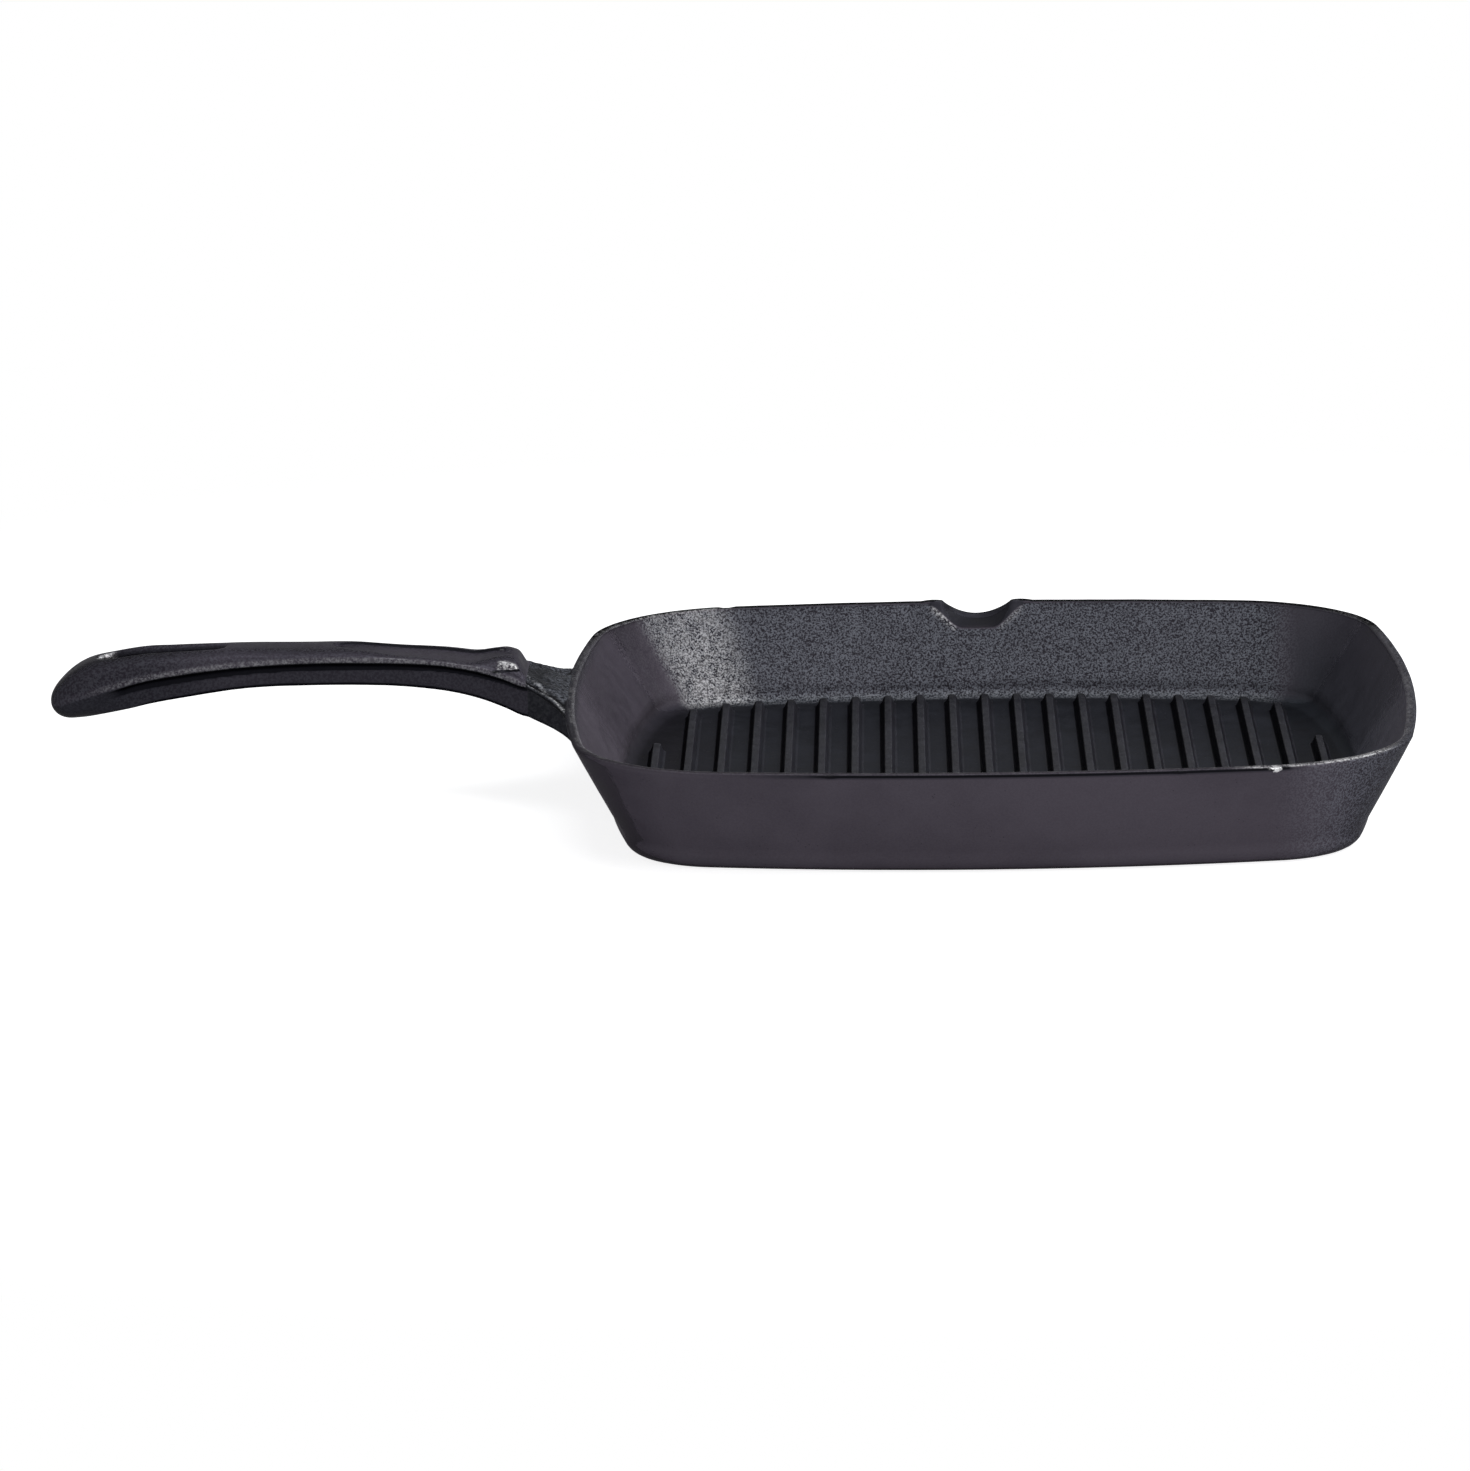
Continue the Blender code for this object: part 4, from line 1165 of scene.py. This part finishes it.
def grip_painted_highlight(points, normals):
    """Painted highlights in bare iron's colour on the flange's edge, the near side of the lip's block and the
    slot's mouth.
    """
    x, y, z = points.T
    out, edge, half_width = handle_lines(x)
    on_edge = ease(np.abs(y) / half_width, 0.90, 0.97) * fade(np.abs(z - edge), 0.5 * MM, 1.1 * MM)
    block = band(out - NECK_LENGTH, 0.5 * MM, 8 * MM, 1.2 * MM) * ease(-normals[:, 1], 0.38, 0.62)
    block *= band(z - LIP_LINE, 0.3 * MM, 2.8 * MM, 0.3 * MM)
    mouth = fade(beyond_slot(x, y), 0.3 * MM, 1.1 * MM) * ease(z - edge, 1 * MM, 3 * MM)
    mouth *= 0.20 * (y < 0) + 0.9 * fade(x, -0.271, -0.268)
    return clamp(0.15 * on_edge * fade(out, 0.130, 0.150) + 0.8 * block + mouth, 0.0, 2.0)


def grip_painted_shade(points, normals):
    """Painted shade on the web and under the grip, in the thumb rest's border, under the lip's block and in
    the slot.
    """
    x, y, z = points.T
    out, edge, half_width = handle_lines(x)
    upward = normals[:, 2]
    # Painted shade on the web, under the flange and on the underside
    web = fade(z - edge, -1.4 * MM, -0.9 * MM)
    undercut = band(edge - z, 1.0 * MM, 3.9 * MM, 0.6 * MM) * fade(upward, -0.05, 0.3)
    undercut *= fade(out, 0.115, 0.145)
    bottom = ease(-upward, 0.3, 0.7) * web * fade(out, 0.110, 0.135)
    along = clamp((out - DISH_START) / DISH_LENGTH, 0.001, 0.999)
    from_border = np.abs(y) / half_width / dish_border(along)
    rest_line = 0.9 * band(from_border, 0.80, 0.98, 0.06) * (z > edge) * band(along, 0.04, 0.97, 0.02)
    lip_line = band(z - LIP_LINE, -0.6 * MM, 0.0, 0.2 * MM) * ease(np.abs(normals[:, 1]), 0.2, 0.5)
    lip_line *= band(out - NECK_LENGTH, 1.5 * MM, 10 * MM, 1 * MM)
    in_slot = 0.72 * fade(beyond_slot(x, y), 0.3 * MM, 0.8 * MM) * (y > 0) * ease(x, -0.270, -0.267)
    below = 0.25 * fade(upward, -0.35, 0.15)
    return clamp(0.50 * web + below + undercut + bottom + rest_line + lip_line + in_slot)


def faces_in(points, normals):
    """True where a point of the pan's body faces its inside."""
    return np.sum(points[:, :2] * normals[:, :2], axis=1) < 0


def facing(normals, axis):
    """How far a wall faces along X (0) or Y (1), whatever its slope."""
    return normals[:, axis] / np.maximum(np.hypot(normals[:, 0], normals[:, 1]), 0.001)


def crease_height(x):
    """Height at which the pan's inner wall ends: the rim's rounding, or the crease under the spout."""
    return RIM_HEIGHT - RIM_ROUND - SPOUT_CREASE_DIP * crease_share(x)


def at_spout(x, y):
    """True where the spout's channel runs through the back wall."""
    return (crease_share(x) > 0.01) & (y > SPOUT_FROM_Y)


def in_channel(points):
    """1 in the spout's channel, above its crease."""
    x, y, z = points.T
    return at_spout(x, y) * ease(z - crease_height(x), 0.0, 0.3 * MM)


def wall_height(z):
    """0 at the floor, 1 at the rim."""
    return clamp((z - FLOOR) / (RIM_HEIGHT - FLOOR))


def back_wall(points, normals):
    """1 on the inside of the back wall, between its two corners; the left border leans out with height."""
    x, y, z = points.T
    border = mix(0.775, 0.68, wall_height(z))
    turned = ease(-facing(normals, 1), border - 0.08, border + 0.06)
    return (y > BACK_FROM_Y) * turned * fade(x, *BACK_WALL_END)


def rim_by_neck(points):
    """1 on the top of the rim where the neck runs into it."""
    x, y, z = points.T
    beside = fade(x, -0.128, -0.120) * fade(np.abs(y), 0.070, 0.095)
    return beside * ease(z, RIM_HEIGHT - 2 * MM, RIM_HEIGHT - 1 * MM)


def from_knock(points, beside=0.0):
    """Distance from the knock on the near rim, or from a place beside it along the rim."""
    x, side = RIM_CHIPS[0][0] + beside, RIM_CHIPS[0][1]
    knock = np.array([x, side * (rim_line(x) - 0.3 * MM), RIM_HEIGHT - 0.4 * MM])
    return np.linalg.norm(points - knock, axis=1)


def pan_grain_and_sheen(points, normals):
    """How sandy the pan is: coarse on the back wall's inside and the right end's outside, where the sand's
    light specks are also a painted sheen.
    """
    x, _, z = points.T
    top = crease_height(x) + 0.6 * MM * fade(crease_share(x), 0.0, 0.1)
    on_wall = ease(z, FLOOR + 0.1 * MM, FLOOR + 0.5 * MM) * fade(z, top - 0.5 * MM, top)
    on_floor = fade(z, *OFF_FLOOR) * (normals[:, 2] > 0.9)
    # Coarse sand on the back wall's inside, also a painted sheen there
    inside = 0.08 + 0.92 * on_wall * back_wall(points, normals) + 0.08 * on_floor
    # Sandier, and so lighter, towards the right end outside: partly a painted sheen
    outside = 0.05 + 0.85 * ease(x, *SAND_AND_SHEEN_OUTSIDE)
    inward = faces_in(points, normals) | (on_floor > 0)
    return np.maximum(np.where(inward, inside, outside), 0.6 * rim_by_neck(points))


def rim_wear_and_highlight(points, normals):
    """Bare iron at the knock, and painted highlights: a thin bright line on the near rim's top towards its
    right end, lines along the rim's inner edge, and a faint line on the rest of its top.
    """
    x, y, z = points.T
    top = ease(normals[:, 2], 0.62, 0.80) * ease(z, *RIM_TOP)
    # A painted highlight line on the near rim's top towards its right end
    near_right_highlight = 0.6 * band(x, *NEAR_RIGHT_RIM, 0.010) + 0.5 * band(x, 0.100, 0.112, 0.006)
    near_right_highlight *= ease(-y, 0.085, 0.100) * ease(from_knock(points, BESIDE_KNOCK), 0.8 * MM, 1.3 * MM)
    knock = 2.5 * fade(from_knock(points), 0.9 * MM, 1.6 * MM)
    # Painted highlights along the rim's inner edge
    inner_edge_highlight = ease(z - RIM_HEIGHT, -0.9 * MM, -0.3 * MM) * faces_in(points, normals)
    inner_edge_highlight *= 0.20 * fade(x, -0.118, -0.100) + 0.12 * (y < 0) + 0.14 * ease(x, 0.104, 0.120)
    plain = 0.04 * (1 - rim_by_neck(points))
    return top * (plain + near_right_highlight) + knock + inner_edge_highlight


def wall_painted_highlight(points, normals):
    """Painted highlights on the inside of the back wall: a bright sheen at its left end, its foot and the
    crease under the spout; and a faint one on the left wall.
    """
    x, _, z = points.T
    wall = back_wall(points, normals)
    # Painted highlight: the sheen on the back wall's left end
    inmost = mix(-0.081, -0.090, wall_height(z))
    left_end_highlight = mix(0.44, 0.26, wall_height(z)) * fade(x, inmost, inmost + 0.012)
    left_end_highlight *= ease(z, FLOOR + 0.3 * MM, FLOOR + 1 * MM)
    # Painted highlights at the wall's foot and along the crease under the spout
    foot = 0.07 * band(z - FLOOR, 0.5 * MM, 1.8 * MM, 0.5 * MM)
    crease = (0.20 + 0.25 * (x < SPOUT_CENTRE_X)) * band(crease_share(x), 0.08, 0.84, 0.08)
    crease *= band(z - crease_height(x), -1.2 * MM, -0.2 * MM, 0.4 * MM)
    # A faint painted highlight on the left wall
    left_wall_highlight = 0.04 * (1 - wall) * ease(normals[:, 0], 0.40, 0.90) * faces_in(points, normals)
    return wall * (left_end_highlight + foot + crease) + left_wall_highlight


def pan_dark_and_painted_shade(points, normals):
    """Where the pan is darkened, mostly as painted shade: the cooking floor, more at its left and right ends;
    the side walls' feet; a line under the near rim's edge; the far rim's top; the rim by the neck; and the
    spout.
    """
    x, y, z = points.T
    upward = normals[:, 2]
    # The cooking floor darker, and much darker towards its left and right ends, where that is painted shade
    on_floor = fade(z, *OFF_FLOOR) * (0.28 + 0.50 * ease(np.abs(x), 0.088, 0.098))
    # Painted shade at the feet of the side walls
    foot = 0.45 * ease(z, *OFF_FLOOR) * fade(z - FLOOR, 2.4 * MM, 3.4 * MM)
    foot *= (1 - back_wall(points, normals)) * ease(np.abs(x), 0.080, 0.095)
    # A painted shadow line under the near rim's edge, and a dark spot beside its knock
    rim_edge_shade = band(z - RIM_HEIGHT, -1.3 * MM, -0.4 * MM, 0.2 * MM) * (y < 0)
    rim_edge_shade *= ease(x, -0.085, -0.045) * fade(x, 0.082, 0.095)
    rim_edge_shade += fade(from_knock(points, BESIDE_KNOCK), 0.7 * MM, 1.3 * MM)
    # Painted shade on the far rim's top
    far_rim_shade = ease(y, 0.060, 0.085) * ease(upward, 0.45, 0.75) * fade(crease_share(x), 0.0, 0.2)
    far_rim_shade *= ease(z, RIM_HEIGHT - 1.5 * MM, RIM_HEIGHT - 1 * MM)
    # The spout's lip darker
    from_lip = rim_line(x) + SPOUT_REACH * lip_share(x) - y
    lip = fade(from_lip, 1.6 * MM, 2.2 * MM) * at_spout(x, y) * (upward > 0.3)
    inside = faces_in(points, normals) | (upward > 0.9)
    dark_and_shade = np.where(inside, on_floor + foot + 0.55 * in_channel(points), rim_edge_shade)
    return clamp(dark_and_shade + far_rim_shade + 0.4 * rim_by_neck(points) + lip)


def pan_painted_light(points, normals):
    """Painted light and shade: the straight left and right walls are lighter, the corners darker, and the
    outside lighter at both ends.
    """
    x, _, z = points.T
    up = wall_height(z)
    sideways = np.abs(facing(normals, 0))
    # Painted light and shade on the inside walls
    straight = ease(sideways, 0.912, 0.987)
    corner = mix(mix(0.20, -0.05, up), mix(0.10, -0.36, up), ease(sideways, 0.70, 0.85))
    walls = mix(corner, 0.50, straight) * fade(x, *LEFT_WALL_END)
    walls += mix(-0.22, 0.45, straight) * ease(x, *BACK_WALL_END)
    walls *= (1 - back_wall(points, normals)) * ease(z, FLOOR + 1 * MM, FLOOR + 4 * MM)
    # The outside painted lighter at both ends
    outside = -0.08 + 0.42 * ease(x, *OUTSIDE_PAINTED_LIGHT) + 0.30 * fade(x, -0.122, -0.108) * (1 - up)
    return np.where(faces_in(points, normals), walls, outside)


def pan_cool(points, normals):
    """Where the oxide is bluer: the cooking floor, the right corner's inside and the spout."""
    x, _, z = points.T
    on_floor = fade(z - FLOOR, 0.5 * MM, 3 * MM) * ease(z - FLOOR, -0.4 * MM, -0.1 * MM)
    on_floor *= (normals[:, 2] > 0) * (1 - 0.6 * fade(x, -0.100, -0.085))
    right = faces_in(points, normals) * ease(x, *RIGHT_CORNER) * (1 - 0.6 * wall_height(z))
    return clamp(0.75 * on_floor + 0.7 * right + 0.5 * in_channel(points))


LOOKS = {"pan": pan_looks, "rib": rib_looks, "neck": neck_looks, "grip": grip_looks}


# Floor, light and camera

PALE_SIZE = 8.0
PALE_GREY = (0.86, 0.86, 0.86)
PALE_GLOW = 0.84
WHITE_FROM = 0.30  # distance from the pan's middle at which the pale floor starts to turn plain white
WHITE_AT = 0.60
LAMP_AIM = Vector((-0.03, 0.0, 0.02))
LAMP_DISTANCE = 1.5
LAMP_SIZE = (0.8, 0.8)


def floor():
    """A pale floor that keeps the pan's shadow and turns plain white away from it."""
    bpy.ops.mesh.primitive_plane_add(size=PALE_SIZE, location=(0, 0, -0.1 * MM))
    plane = bpy.context.object
    plane.name = "floor"
    material = bpy.data.materials.new("pale_floor")
    make = Shading(material)
    make.feed(make.shader, {"Base Color": PALE_GREY, "Roughness": 0.9, "Specular IOR Level": 0.1})
    white = make.node("ShaderNodeEmission", {"Strength": 1.0})
    glow = make.node("ShaderNodeEmission", {"Strength": PALE_GLOW})
    near = make.node("ShaderNodeAddShader", {0: make.shader.outputs[0], 1: glow.outputs[0]})
    away = make.node("ShaderNodeVectorMath", {0: make.place()}, operation="LENGTH").outputs["Value"]
    shown = make.either(make.span(away, WHITE_FROM, WHITE_AT), near, white)
    both = make.either(make.seen_rays(), make.shader, shown)
    make.feed(make.tree.nodes["Material Output"], {"Surface": both.outputs[0]})
    plane.data.materials.append(material)


def lamp(name, direction, energy, colour, size=LAMP_SIZE):
    """A soft box that faces the pan from a direction."""
    light = bpy.data.lights.new(name, "AREA")
    light.shape = "RECTANGLE"
    light.size, light.size_y = size
    light.energy = energy
    light.color = colour
    holder = add_object(name, light)
    away = Vector(direction).normalized()
    holder.location = LAMP_AIM + away * LAMP_DISTANCE
    holder.rotation_mode = "QUATERNION"
    holder.rotation_quaternion = away.to_track_quat("Z", "Y")


def lights():
    lamp("key", (0.55, -0.34, 0.77), 5.0, (1.0, 0.985, 0.97))
    lamp("side", (0.72, -0.64, 0.26), 4.5, (1.0, 0.96, 1.0), (1.0, 0.5))
    lamp("overhead", (0.0, -0.03, 1.0), 3.2, (0.97, 0.985, 1.0))
    lamp("back", (0.56, 0.66, 0.50), 5.0, (0.97, 0.985, 1.0))


def studio():
    """A dim pale room that looks plain white where the background shows."""
    world = bpy.data.worlds.new("studio")
    bpy.context.scene.world = world
    make = Shading(world)
    make.tree.nodes.clear()
    room = make.node("ShaderNodeBackground", {"Color": (0.92, 0.95, 1.0), "Strength": 0.15})
    white = make.node("ShaderNodeBackground", {"Color": (1.0, 1.0, 1.0), "Strength": 1.0})
    both = make.either(make.seen_rays(), room, white)
    make.node("ShaderNodeOutputWorld", {"Surface": both.outputs[0]})


# The camera, as fitted to the photograph: its aim, angles and focal length
CAMERA_AIM = (-0.07821, 0.0, 0.016935)
CAMERA_DISTANCE = 2.3685
CAMERA_ELEVATION = 12.257
CAMERA_AZIMUTH = 1.198
CAMERA_ROLL = 0.968
IMAGE_LONG_SIDE = 1471
FOCAL_LENGTH_PIXELS = 7683.9
SENSOR = 36.0


def camera():
    elevation, azimuth, roll = map(math.radians, (CAMERA_ELEVATION, CAMERA_AZIMUTH, CAMERA_ROLL))
    level = math.cos(elevation)
    back = Vector((math.sin(azimuth) * level, -math.cos(azimuth) * level, math.sin(elevation)))
    right = Vector((math.cos(azimuth), math.sin(azimuth), 0.0))
    up = back.cross(right)
    image_right = right * math.cos(roll) - up * math.sin(roll)
    image_up = right * math.sin(roll) + up * math.cos(roll)
    data = bpy.data.cameras.new("camera")
    data.sensor_width = SENSOR
    data.lens = FOCAL_LENGTH_PIXELS / IMAGE_LONG_SIDE * SENSOR
    holder = add_object("camera", data)
    axes = Matrix((image_right, image_up, back)).transposed().to_4x4()
    holder.matrix_world = Matrix.Translation(Vector(CAMERA_AIM) + back * CAMERA_DISTANCE) @ axes
    bpy.context.scene.camera = holder


pan_body()
grill_ribs()
handle()
floor()
lights()
studio()
camera()
bpy.context.scene.view_settings.view_transform = "Standard"
